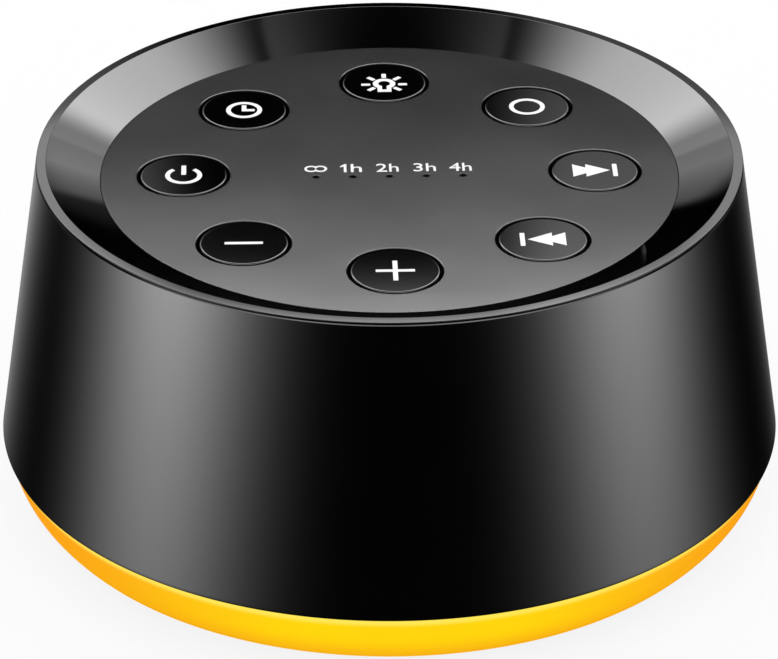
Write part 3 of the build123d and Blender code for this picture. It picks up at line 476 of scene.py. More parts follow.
class Pattern(Enum):
    """The relief and colour change that a finish has."""

    GRAIN = "moulded grain"
    WEAVE = "plain weave"
    TURNED = "turning marks"
    TRACES = "board traces"

    def group(self) -> bpy.types.NodeTree:
        """The pattern's node group, built on its first use.

        Grain is two sizes of noise. Weave is two crossed sine bands multiplied. Turning marks are
        noise stretched into fine rings about Z. Traces are the edges of square cells over a flat tone.

        Returns:
            The group with the outputs Color, Roughness and Normal.
        """
        name = self.name.lower()
        if name in bpy.data.node_groups:
            return bpy.data.node_groups[name]
        tree = bpy.data.node_groups.new(name, "ShaderNodeTree")
        for label, kind in {"Color": "Color", "Second Color": "Color", "Scale": "Float", "Smooth": "Float",
                            "Rough": "Float", "Height": "Float"}.items():
            tree.interface.new_socket(label, in_out="INPUT", socket_type=f"NodeSocket{kind}")
        for label, kind in {"Color": "Color", "Roughness": "Float", "Normal": "Vector"}.items():
            tree.interface.new_socket(label, in_out="OUTPUT", socket_type=f"NodeSocket{kind}")
        graph = Graph(tree)
        given = graph.node("NodeGroupInput")
        place = graph.place()
        x, y = graph.axes(place)[:2]
        cloud = graph.noise(place, 55.0, 3.0)
        fine = graph.noise(place, given["Scale"], 4.0)
        tone, relief = cloud, fine
        if self is Pattern.WEAVE:
            turn = graph.math("MULTIPLY", given["Scale"], FULL_TURN)
            warp, weft = (graph.math("SINE", graph.math("MULTIPLY", axis, turn)) for axis in (x, y))
            relief = graph.math("ADD", graph.math("MULTIPLY", warp, weft, 0.5), 0.5)
            tone = graph.math("MULTIPLY", relief, fine)
        elif self is Pattern.TURNED:
            squares = graph.math("ADD", graph.math("POWER", x, 2.0), graph.math("POWER", y, 2.0))
            out = graph.math("MULTIPLY", graph.math("SQRT", squares), given["Scale"])
            relief = graph.node("ShaderNodeTexNoise", {"W": out, "Scale": 6.0}, noise_dimensions="1D")["Fac"]
            tone = graph.math("MULTIPLY", graph.math("ADD", relief, cloud), 0.5)
        elif self is Pattern.TRACES:
            cells = graph.node("ShaderNodeTexVoronoi", {"Vector": place, "Scale": given["Scale"]},
                               distance="MANHATTAN", feature="F2")["Distance"]
            relief = graph.ramp(cells, 0.45, 0.52)
            tone = graph.math("ADD", graph.math("MULTIPLY", relief, 0.8), graph.math("MULTIPLY", cloud, 0.2))
        color = graph.mix(graph.ramp(tone, 0.3, 0.7), given["Second Color"], given["Color"])
        rough = graph.node("ShaderNodeMapRange", {"Value": cloud, "From Min": 0.3, "From Max": 0.7,
                                                  "To Min": given["Smooth"], "To Max": given["Rough"]})
        bump = graph.node("ShaderNodeBump", {"Height": relief, "Distance": given["Height"], "Strength": 1.0})
        graph.node("NodeGroupOutput", {"Color": color, "Roughness": rough[0], "Normal": bump[0]})
        return tree


@dataclass(frozen=True)
class Finish:
    """How one kind of surface looks.

    Args:
        slot: the record's material slot.
        color: its main colour, linear.
        second: the colour that it drifts to, as a share of the main one.
        smooth, rough: roughness where it is most and least polished.
        scale: features of its pattern per metre.
        height: depth of its relief in millimetres.
        pattern: what the relief is.
        metallic: 1 for bare metal.
        specular: the shader's specular level.
        coat: weight of a clear coat.
        sheen: weight of the soft sheen of cloth and foam.
        transmission: 1 for clear plastic.
    """

    slot: str
    color: Rgb
    second: float = 0.8
    smooth: float = 0.35
    rough: float = 0.5
    scale: float = 2500.0
    height: float = 0.006
    pattern: Pattern = Pattern.GRAIN
    metallic: float = 0.0
    specular: float = 0.5
    coat: float = 0.0
    sheen: float = 0.0
    transmission: float = 0.0

    def material(self) -> bpy.types.Material:
        """The finish as a material.

        Returns:
            The material, whose pattern feeds its shader.
        """
        made, graph = new_material(self.slot)
        look = graph.node("ShaderNodeGroup", {
            "Color": rgba(self.color), "Second Color": rgba(self.color, self.second), "Scale": self.scale,
            "Smooth": self.smooth, "Rough": self.rough, "Height": self.height * MM,
        }, node_tree=self.pattern.group())
        shader = graph.node("ShaderNodeBsdfPrincipled", {
            "Base Color": look["Color"], "Roughness": look["Roughness"], "Normal": look["Normal"],
            "Metallic": self.metallic, "Specular IOR Level": self.specular, "Coat Weight": self.coat,
            "Coat Roughness": 0.05, "Sheen Weight": self.sheen, "Transmission Weight": self.transmission})
        graph.node("ShaderNodeOutputMaterial", {"Surface": shader["BSDF"]})
        return made


@dataclass(frozen=True)
class GlowingDiffuser:
    """The lit amber ring, paler along its top as a painted highlight, deeper orange to the sides as painted
    shade.

    Args:
        slot: the record's material slot.
        middle: colour of the glow at the front and back.
        side: colour of the painted shade on the glow at the two sides; dimmed, also the plastic's base
            colour.
        top_line: colour of the painted highlight, a thin pale line under the shell.
        foot: colour of the painted shade at the lower edge, which the random mottle also drifts to.
        radius: radius of the ring.
        painted_highlight_low, line_high: heights over which the painted highlight sets in.
        foot_low, foot_high: heights over which the lower edge's painted shade fades.
    """

    slot: str = "amber_diffuser"
    middle: Rgb = (1.0, 0.67, 0.0015)
    side: Rgb = (0.93, 0.35, 0.006)
    top_line: Rgb = (1.0, 0.82, 0.11)
    foot: Rgb = (0.92, 0.42, 0.006)
    radius: float = 54.0
    painted_highlight_low: float = 9.1
    line_high: float = 10.0
    foot_low: float = 2.2
    foot_high: float = 7.5

    def material(self) -> bpy.types.Material:
        """The glow as an emission that changes with place, with painted shade and a painted highlight in its
        colour, under a thin gloss.

        Returns:
            The material.
        """
        made, graph = new_material(self.slot)
        place = graph.place()
        axes = graph.axes(place)
        z = axes["Z"]
        # Painted shade: the glow turns deeper orange towards the two sides.
        aside = graph.math("ABSOLUTE", graph.math("DIVIDE", axes["X"], self.radius * MM))
        glow = graph.mix(graph.ramp(aside, 0.2, 0.95), rgba(self.middle), rgba(self.side))
        mottle = graph.ramp(graph.noise(place, 90.0), 0.2, 0.8, 0.0, 0.12)
        glow = graph.mix(mottle, glow, rgba(self.foot))
        # Painted highlight: a thin paler line along the ring's top, under the shell.
        line = graph.ramp(z, self.painted_highlight_low * MM, self.line_high * MM, 0.0, 0.85)
        glow = graph.mix(line, glow, rgba(self.top_line))
        # Painted shade: the glow turns deeper orange towards the lower edge.
        low = graph.ramp(z, self.foot_high * MM, self.foot_low * MM, 0.0, 0.9)
        glow = graph.mix(low, glow, rgba(self.foot))
        shader = graph.node("ShaderNodeBsdfPrincipled", {
            "Base Color": rgba(self.side, 0.05), "Roughness": 0.4, "Specular IOR Level": 0.12,
            "Emission Color": glow, "Emission Strength": 1.0})
        graph.node("ShaderNodeOutputMaterial", {"Surface": shader["BSDF"]})
        return made


TURNED, TRACES, WEAVE = Pattern.TURNED, Pattern.TRACES, Pattern.WEAVE
FINISHES = (
    Finish("gloss_black", (0.0012, 0.0012, 0.0014), 0.7, 0.045, 0.065, 900.0, 0.0003),
    Finish("satin_black", (0.0090, 0.0090, 0.0094), 0.92, 0.17, 0.19, 5200.0, 0.0004, specular=0.9),
    Finish("key_black", (0.0012, 0.0012, 0.0013), 0.7, 0.05, 0.07, 900.0, 0.0003),
    Finish("print_white", (0.86, 0.86, 0.86), 0.95, 0.45, 0.55, 6000.0, 0.001),
    Finish("matte_black", (0.014, 0.014, 0.015), 0.75, 0.42, 0.55, 3200.0, 0.012),
    Finish("foot_rubber", (0.022, 0.022, 0.023), 0.7, 0.6, 0.78, 2600.0, 0.02, sheen=0.1),
    Finish("screw_steel", (0.55, 0.55, 0.57), 0.8, 0.22, 0.36, 2600.0, 0.002, TURNED, 1.0),
    Finish("screw_black", (0.03, 0.03, 0.032), 0.7, 0.28, 0.42, 2600.0, 0.002, TURNED, 0.6),
    Finish("circuit_board", (0.012, 0.105, 0.04), 0.55, 0.28, 0.36, 420.0, 0.02, TRACES, coat=0.4),
    Finish("circuit_board_white", (0.80, 0.80, 0.78), 0.88, 0.3, 0.4, 420.0, 0.02, TRACES, coat=0.3),
    Finish("switch_plastic", (0.025, 0.025, 0.027), 0.7, 0.4, 0.5, 3000.0, 0.006),
    Finish("plunger_plastic", (0.75, 0.74, 0.70), 0.9, 0.35, 0.45, 3000.0, 0.004),
    Finish("led_white", (0.85, 0.83, 0.70), 0.85, 0.15, 0.25, 1800.0, 0.002, coat=0.3),
    Finish("clear_plastic", (0.08, 0.08, 0.085), 0.8, 0.08, 0.14, 900.0, 0.001, transmission=0.6),
    Finish("connector_white", (0.82, 0.80, 0.74), 0.92, 0.35, 0.5, 3000.0, 0.004),
    Finish("ribbon_white", (0.84, 0.84, 0.82), 0.9, 0.35, 0.45, 2200.0, 0.004),
    Finish("chip_black", (0.018, 0.018, 0.020), 0.7, 0.45, 0.6, 5200.0, 0.008),
    Finish("capacitor_sleeve", (0.018, 0.028, 0.075), 0.7, 0.18, 0.28, 1500.0, 0.002, coat=0.2),
    Finish("ferrite_grey", (0.055, 0.055, 0.060), 0.7, 0.4, 0.6, 2400.0, 0.012),
    Finish("ceramic_tan", (0.34, 0.25, 0.15), 0.75, 0.3, 0.45, 2600.0, 0.004),
    Finish("socket_steel", (0.60, 0.60, 0.60), 0.85, 0.18, 0.3, 1400.0, 0.001, metallic=1.0),
    Finish("pressed_steel", (0.42, 0.42, 0.43), 0.8, 0.28, 0.42, 1600.0, 0.003, metallic=1.0),
    Finish("copper_wire", (0.72, 0.36, 0.18), 0.75, 0.25, 0.38, 2600.0, 0.004, TURNED, 1.0),
    Finish("cone_paper", (0.028, 0.028, 0.030), 0.6, 0.7, 0.9, 1700.0, 0.03, sheen=0.15),
    Finish("spider_cloth", (0.46, 0.32, 0.14), 0.6, 0.6, 0.8, 1300.0, 0.05, WEAVE, sheen=0.2),
    Finish("surround_rubber", (0.018, 0.018, 0.019), 0.75, 0.5, 0.62, 2000.0, 0.005),
    Finish("foam_black", (0.026, 0.026, 0.027), 0.5, 0.8, 0.95, 1500.0, 0.06, sheen=0.2),
    Finish("wire_sleeve", (0.42, 0.018, 0.018), 0.8, 0.35, 0.45, 2000.0, 0.002),
    Finish("black_cloth", (0.013, 0.013, 0.014), 0.5, 0.7, 0.85, 1100.0, 0.05, WEAVE, sheen=0.25),
    Finish("reflector_white", (0.88, 0.88, 0.86), 0.95, 0.4, 0.5, 2600.0, 0.004),
    GlowingDiffuser(),
)


class Wardrobe:
    """Every finish as a material, by slot, and the making of pieces that wear them."""

    def __init__(self) -> None:
        """Builds the materials, and gives the carried-over nodes those that their own ones name."""
        self.materials = {finish.slot: finish.material() for finish in FINISHES}
        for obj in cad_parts.values():
            for place in obj.material_slots:
                place.material = self.materials[place.material.name.split(".")[0]]

    def piece(self, name: str, surface: Surface, slot: str, body: str | None = "root",
              nodes: Sequence[str] = (), sharp: bool = False) -> bpy.types.Object:
        """Makes a piece in its finish.

        Args:
            name: its name.
            surface: its shape.
            slot: the record's slot that it wears.
            body: the body that it rides on, or None for no body.
            nodes: the nodes that it stands for.
            sharp: faces keep their own flat shading.

        Returns:
            The piece.
        """
        obj = make_object(name, surface, sharp)
        obj.data.materials.append(self.materials[slot])
        if body:
            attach(obj, body)
        if nodes:
            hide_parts(*nodes)
        log.info("%s: %d faces on %s, slot %s", name, len(obj.data.polygons), body or "two bodies", slot)
        return obj


# ---- The casing ----
@dataclass
class PowerPocket:
    """The recess in the back of the shell with the mouth of the power socket.

    Args:
        z: height of its middle.
        recess, mouth, pad: half width, half height and corner size of the recess, of the socket's
            mouth and of the thickened wall behind them.
        margin: how far round the recess the ring on the outer wall lies.
        hem: how much larger than the pad the ring round it on the inner wall is.
        floor_y, pad_y: the recess's floor and the thickened wall's inner face.
        edge: rounding of its edges.
        columns, rows: cells of the shell's grid that it takes.
        reach: half the height of that part of the grid.
    """

    z: float = 33.63
    recess: Corner = (7.0, 4.0, 1.5)
    mouth: Corner = (4.59, 1.75, 1.7)
    pad: Corner = (8.5, 5.0, 1.0)
    margin: float = 1.0
    hem: Corner = (0.2, 0.2, 0.1)
    floor_y: float = 49.6
    pad_y: float = 47.5
    edge: float = 0.3
    columns: int = 32
    rows: int = 16
    reach: float = 6.2


@dataclass
class OuterShell:
    """The tapered gloss cover: its wall, the power pocket, bosses, ribs and lugs.

    Args:
        bottom_r, top_r, low, high: outer radii and heights of the wall's two ends.
        wall: its thickness.
        edge, inner_edge: rounding of the lower outer edge and of the inner ones.
        chamfer_in, chamfer_fall: radius and depth of the chamfer at the upper edge.
        supports: how far from its ends the wall has rings that hold its shading.
        around: segments in a full turn.
        pocket: the recess at the back.
        boss_ring, boss_r, pilot_r, boss_low, boss_high: the bosses of the base screws.
        rib_low, rib_high, rib_half: heights of a boss's rib and half its thickness.
        rib_weld: how far it goes into the boss.
        lug_ring, lug_low, lug_high, lug_hole: the lugs under the bezel.
        lug_reach, lug_half, lug_corner: a lug's length inwards from its hole, half its width, its corner.
        sink: how far ribs and lugs go into the wall.
    """

    bottom_r: float = 55.0
    top_r: float = 48.8
    low: float = 10.6
    high: float = 51.92
    wall: float = 2.2
    edge: float = 0.22
    inner_edge: float = 0.15
    chamfer_in: float = 48.68
    chamfer_fall: float = 0.12
    supports: tuple[float, float] = (0.6, 2.4)
    around: int = 512
    pocket: PowerPocket = field(default_factory=PowerPocket)
    boss_ring: float = 36.5
    boss_r: float = 3.7
    pilot_r: float = 1.5
    boss_low: float = 12.0
    boss_high: float = 26.0
    rib_low: float = 13.5
    rib_high: float = 25.0
    rib_half: float = 1.0
    rib_weld: float = 0.4
    lug_ring: float = 43.0
    lug_low: float = 38.9
    lug_high: float = 40.9
    lug_hole: float = 1.25
    lug_reach: float = 3.0
    lug_half: float = 4.0
    lug_corner: float = 0.8
    sink: float = 0.6

    def radius(self, z: np.ndarray | float) -> np.ndarray | float:
        """Outer radius at a height: it falls evenly from bottom to top."""
        return self.bottom_r - (self.bottom_r - self.top_r) * (z - self.low) / (self.high - self.low)

    def at(self, heights: Sequence[float]) -> np.ndarray:
        """Points of the outer wall at these heights."""
        return np.array([(self.radius(z), z) for z in heights])

    def chamfer(self) -> np.ndarray:
        """The upper edge, with points close to its two corners that hold the shading.

        Returns:
            Rows of (radius, height).
        """
        foot, head = self.at([self.high - self.chamfer_fall])[0], np.array((self.chamfer_in, self.high))
        share = np.array((0, 0.06, 0.94, 1))[:, None]
        under = self.at([foot[1] - d for d in (0.08, 0.01)])
        return np.concatenate([under, foot + share * (head - foot), [head - (0.02, 0)]])

    def casing(self) -> Surface:
        """The turned wall, without the cells where the pocket goes.

        Returns:
            The wall, open where the pocket goes.
        """
        p = self.pocket
        low_in, high_in = self.bottom_r - self.wall, self.top_r - self.wall
        lower = rounded([(low_in, self.low, 0), (self.bottom_r, self.low, self.edge),
                         (self.top_r, self.high, 0)], 5, False)
        near_low = self.at([self.low + d for d in self.supports])
        near_high = self.at([self.high - d for d in self.supports[::-1]])
        outside = self.at(np.linspace(p.z - p.reach, p.z + p.reach, p.rows + 1))
        inner_top = rounded([(self.top_r, self.high, 0), (high_in, self.high, self.inner_edge),
                             (low_in, self.low, 0)], 3, False)
        inner_low = rounded([(high_in, self.high, 0), (low_in, self.low, self.inner_edge),
                             (self.bottom_r, self.low, 0)], 3, False)
        inside = outside[::-1] - (self.wall, 0)
        parts = [lower, near_low, outside, near_high, self.chamfer(), inner_top, inside, inner_low]
        starts = np.cumsum([0] + [len(part) for part in parts])
        keep = np.ones((starts[-1], self.around), bool)
        middle, half = self.around // 4, p.columns // 2
        for first in (starts[2], starts[6]):
            keep[first:first + p.rows, middle - half:middle + half] = False
        return lathe(np.concatenate(parts), self.around, keep=keep)

    def back_wall(self) -> Surface:
        """Rings from the rim of the missing cells into the pocket, through the mouth and back to the
        inner wall. A ring's x and z are a rounded outline, and its y is the shell's wall or a flat.

        Returns:
            The wall of the pocket, with the cone's own normals where it lies on the cone.
        """
        p = self.pocket
        unit = rounded_outline(1.0, 1.0, 0.0, p.columns, p.rows)

        def cell_ring(inset: float) -> np.ndarray:
            """The rim of the missing cells on the wall that lies this far inside the outer one.

            Args:
                inset: the wall's depth under the outer one.

            Returns:
                The ring's points.
            """
            angle = np.pi / 2 - unit[:, 0] * p.columns * np.pi / self.around
            z = p.z + unit[:, 1] * p.reach
            r = self.radius(z) - inset
            return np.column_stack([r * np.cos(angle), r * np.sin(angle), z])

        def ring(outline: Corner, grow: float, y: float | None, sunk: float = 0.0,
                 inset: float = 0.0) -> np.ndarray:
            """An outline made larger on a flat at y, or else on the wall, and sunk inwards from there.

            Args:
                outline: half width, half height and corner size.
                grow: what is added to all three.
                y: the flat's place, or None for the wall.
                sunk: how far inwards from there the ring lies.
                inset: the wall's depth under the outer one.

            Returns:
                The ring's points.
            """
            spots = rounded_outline(*(size + grow for size in outline), p.columns, p.rows)
            z = p.z + spots[:, 1]
            on_wall = np.sqrt((self.radius(z) - inset) ** 2 - spots[:, 0] ** 2)
            out = on_wall if y is None else np.full(len(z), y)
            return np.column_stack([spots[:, 0], out - sunk, z])

        turn = np.linspace(0, np.pi / 2, 5)
        early, late = 1 - np.sin(turn), 1 - np.cos(turn)
        edge, lip = p.edge, p.edge / 2
        hem = tuple(size + grow for size, grow in zip(p.pad, p.hem))
        rings = [cell_ring(0.0), ring(p.recess, p.margin, None)]
        rings += [ring(p.recess, a, None, b) for a, b in zip(edge * early, edge * late)]
        rings += [ring(p.recess, -b, p.floor_y, -a) for a, b in zip(edge * early, edge * late)]
        rings += [ring(p.mouth, 3 * lip, p.floor_y)]
        rings += [ring(p.mouth, a, p.floor_y, b) for a, b in zip(lip * early, lip * late)]
        rings += [ring(p.mouth, b, p.pad_y, -a) for a, b in zip(lip * early, lip * late)]
        rings += [ring(p.pad, -a, p.pad_y, -b) for a, b in zip(lip * early, lip * late)]
        rings += [ring(p.pad, 0.0, None, 0.05, self.wall), ring(hem, 0.0, None, 0.0, self.wall)]
        rings += [cell_ring(self.wall)]
        made = grid(np.stack(rings)[:, ::-1])
        flat_r = np.hypot(made.points[:, 0], made.points[:, 1])
        slope = (self.bottom_r - self.top_r) / (self.high - self.low)
        out = np.column_stack([made.points[:, :2] / flat_r[:, None], np.full(len(flat_r), slope)])
        out /= np.linalg.norm(out, axis=1, keepdims=True)
        for inset, side in ((0.0, 1), (self.wall, -1)):
            on_it = np.abs(flat_r - (self.radius(made.points[:, 2]) - inset)) < 1e-6
            made.normals[on_it] = side * out[on_it]
        return made

    def inner_posts(self) -> list[Surface]:
        """The bosses of the base screws, with a rib to the wall, and the lugs under the bezel.

        Returns:
            The bosses, ribs and lugs.
        """
        boss = tube(self.pilot_r, self.boss_r, self.boss_low, self.boss_high)
        rib_in = self.boss_ring + self.boss_r - self.rib_weld
        rib_out = self.radius(self.boss_high) - self.wall + self.sink
        rib = rounded_outline((rib_out - rib_in) / 2, self.rib_half, 0.2, 8, 4) + ((rib_out + rib_in) / 2, 0)
        lug_in = self.lug_ring - self.lug_reach
        lug_out = self.radius(self.lug_high) - self.wall + self.sink
        lug = rounded_outline((lug_out - lug_in) / 2, self.lug_half, self.lug_corner, 8, 8)
        lug = lug + ((lug_out + lug_in) / 2, 0)
        ribs = prism([rib], self.rib_low, self.rib_high)
        lugs = prism([lug, circle(self.lug_hole, self.lug_ring, 0, 24)], self.lug_low, self.lug_high)
        turned = [part.turned(angle) for part in (ribs, lugs) for angle in DIAGONALS]
        return ring_of(boss, self.boss_ring, DIAGONALS) + turned

    def build(self, wardrobe: Wardrobe) -> None:
        """Makes the cover."""
        surface = joined([self.casing(), self.back_wall()] + self.inner_posts())
        wardrobe.piece("shell_cover", surface, "gloss_black", nodes=["outer_shell"])


@dataclass
class TopBezel:
    """The gloss bowl with its flat land, the plate's seat, the skirt and four screw bosses.

    Args:
        land_in, land_out, top, land_edge, edge: radii, height and edge rounding of the land.
        plate_r, plate_top: where the bowl meets the plate.
        seat_in, seat_low, seat_top, seat_out: the seat under the plate.
        skirt_in, skirt_out, skirt_low, skirt_high: the skirt inside the shell.
        groove, groove_r, lip_low: floor and depth of the shadow gap, and underside of the land.
        boss_ring, boss_low, boss_high, boss_r, pilot_r: the screw bosses.
    """

    land_in: float = 47.4
    land_out: float = 48.75
    top: float = 52.3
    land_edge: float = 0.1
    edge: float = 0.12
    plate_r: float = 40.05
    plate_top: float = 49.0
    seat_in: float = 38.2
    seat_low: float = 45.8
    seat_top: float = 47.4
    seat_out: float = 41.25
    skirt_in: float = 44.8
    skirt_out: float = 46.3
    skirt_low: float = 43.5
    skirt_high: float = 49.55
    groove: float = 51.9
    groove_r: float = 47.7
    lip_low: float = 52.0
    boss_ring: float = 43.0
    boss_low: float = 40.9
    boss_high: float = 48.6
    boss_r: float = 2.6
    pilot_r: float = 1.1

    def build(self, wardrobe: Wardrobe) -> None:
        """Makes the bowl. Its section runs anticlockwise from the seat's inner lower corner.

        Args:
            wardrobe: makes the piece in its finish.
        """
        section = rounded([
            (self.seat_in, self.seat_low, 0.2), (self.seat_out, self.seat_low, 0.6),
            (self.skirt_in, self.skirt_high, 0.6), (self.skirt_in, self.skirt_low, 0.2),
            (self.skirt_out, self.skirt_low, 0.2), (self.skirt_out, self.groove, 0.3),
            (self.groove_r, self.groove, 0.05), (self.groove_r, self.lip_low, 0.02),
            (self.land_out, self.lip_low, 0.04), (self.land_out, self.top, self.land_edge),
            (self.land_in, self.top, self.edge), (self.plate_r, self.plate_top, 0.04),
            (self.plate_r, self.seat_top, 0.05), (self.seat_in, self.seat_top, 0.2),
        ])
        boss = tube(self.pilot_r, self.boss_r, self.boss_low, self.boss_high)
        surface = joined([lathe(section, 384)] + ring_of(boss, self.boss_ring, DIAGONALS))
        wardrobe.piece("bowl", surface, "gloss_black", nodes=["top_bezel"])


class Key(Enum):
    """The eight keys by their angle round the plate."""

    LIGHT = 90
    MODE = 45
    NEXT = 0
    PREVIOUS = -45
    VOLUME_UP = -90
    VOLUME_DOWN = -135
    POWER = 180
    TIMER = 135


@dataclass
class KeySizes:
    """Sizes that the keys and the plate share.

    Args:
        ring_r: radius of the ring of keys.
        r, hole_r, top: radius of a key, radius of its hole, height of its top.
        flange_r, flange_low, flange_top: its flange.
        pin_offset, pin_r: the guide pin, seen from the key's middle, and its radius.
    """

    ring_r: float = 28.5
    r: float = 6.05
    hole_r: float = 6.42
    top: float = 49.0
    flange_r: float = 7.1
    flange_low: float = 46.5
    flange_top: float = 47.2
    pin_offset: float = 7.6
    pin_r: float = 0.7


@dataclass
class ControlPlate:
    """The satin panel with the key holes and pinholes, and the posts and pins under it.

    Args:
        keys: the keys' sizes.
        r, top, low: radius and heights of the panel.
        lip, rim_lip, small_lip: edge rounding of the key holes, of the rim and of the pinholes.
        hole_segments: segments round a key hole.
        pinholes, pinhole_y, pinhole_r: places and radius of the pinholes.
        well_r, well_top: the wider well under a pinhole.
        post_ring, post_angles, post_low, post_r, pilot_r: the screw posts.
        pin_low: lower end of the guide pins.
        weld: how far posts and pins go into the panel.
    """

    keys: KeySizes = field(default_factory=KeySizes)
    r: float = 40.0
    top: float = 49.0
    low: float = 47.4
    lip: float = 0.16
    rim_lip: float = 0.05
    small_lip: float = 0.04
    hole_segments: int = 128
    pinholes: tuple[float, ...] = (-10.2, -5.1, 0.0, 5.1, 10.2)
    pinhole_y: float = -0.95
    pinhole_r: float = 0.5
    well_r: float = 0.9
    well_top: float = 48.6
    post_ring: float = 34.5
    post_angles: tuple[float, ...] = (22.5, 112.5, 202.5, 292.5)
    post_low: float = 41.4
    post_r: float = 2.5
    pilot_r: float = 1.1
    pin_low: float = 45.9
    weld: float = 0.1

    def linings(self) -> tuple[Surface, Surface]:
        """The lining of a key hole, whose edges roll outwards, and of a pinhole, which widens below.

        Returns:
            The two linings, both about the Z axis.
        """
        k, lip, out = self.keys, self.lip, self.keys.hole_r + 4 * self.lip
        wide = [(out, self.top, 0), (k.hole_r, self.top, lip), (k.hole_r, self.low, lip), (out, self.low, 0)]
        narrow = [(self.pinhole_r + 1, self.top, 0), (self.pinhole_r, self.top, self.small_lip),
                  (self.pinhole_r, self.well_top, 0.02), (self.well_r, self.well_top, 0.05),
                  (self.well_r, self.low, self.small_lip), (self.well_r + 1, self.low, 0)]
        return (lathe(rounded(wide, 5, False), self.hole_segments, False),
                lathe(rounded(narrow, 3, False), 32, False))

    def panel(self) -> list[Surface]:
        """The flat panel: two flat faces with holes, the outer edge and the hole linings.

        Returns:
            The panel's parts.
        """
        k, rim_lip = self.keys, self.rim_lip
        rim = rounded([(self.r - 1, self.low, 0), (self.r, self.low, rim_lip), (self.r, self.top, rim_lip),
                       (self.r - 1, self.top, 0)], 5, False)
        outer = circle(self.r - rim_lip, around=256)
        key_lining, pin_lining = self.linings()
        pieces = [lathe(rim, 256, False)] + ring_of(key_lining, k.ring_r, [key.value for key in Key])
        pieces += [pin_lining.moved(x, self.pinhole_y) for x in self.pinholes]
        rims = [circle(k.hole_r + self.lip, *polar(k.ring_r, key.value), self.hole_segments) for key in Key]
        for hole_r, z, up in ((self.pinhole_r, self.top, True), (self.well_r, self.low, False)):
            small = [circle(hole_r + self.small_lip, x, self.pinhole_y, 32) for x in self.pinholes]
            pieces.append(flat_face([outer] + rims + small, z, up))
        return pieces

    def build(self, wardrobe: Wardrobe) -> bpy.types.Object:
        """Makes the panel with its posts and guide pins, and returns it.

        Args:
            wardrobe: makes the piece in its finish.

        Returns:
            The panel.
        """
        k, high = self.keys, self.low + self.weld
        post = tube(self.pilot_r, self.post_r, self.post_low, high)
        bar = [(0, self.pin_low, 0), (k.pin_r, self.pin_low, 0.15), (k.pin_r, high, 0.15), (0, high, 0)]
        pin = lathe(capped(bar, 3), 24, False)
        pieces = [joined(self.panel())] + ring_of(post, self.post_ring, self.post_angles)
        pieces += ring_of(pin, k.ring_r + k.pin_offset, [key.value for key in Key])
        return wardrobe.piece("panel", joined(pieces), "satin_black", nodes=["control_plate"])


# ---- Printed symbols ----
def ring(r: float, stroke: float) -> list[np.ndarray]:
    """The two outlines of a circular line."""
    return [circle(r, around=72), circle(r - stroke, around=72)]


def bar(half_w: float, half_h: float, x: float = 0.0, y: float = 0.0, turn: float = 0.0) -> list[np.ndarray]:
    """A bar with slightly rounded corners, turned by an angle in degrees.

    Args:
        half_w, half_h: half its width and half its height.
        x, y: its middle.
        turn: its angle.

    Returns:
        Its only outline.
    """
    c, s = polar(1.0, turn)
    outline = rounded_outline(half_w, half_h, 0.06, 6, 6) @ np.array(((c, s), (-s, c)))
    return [outline + (x, y)]


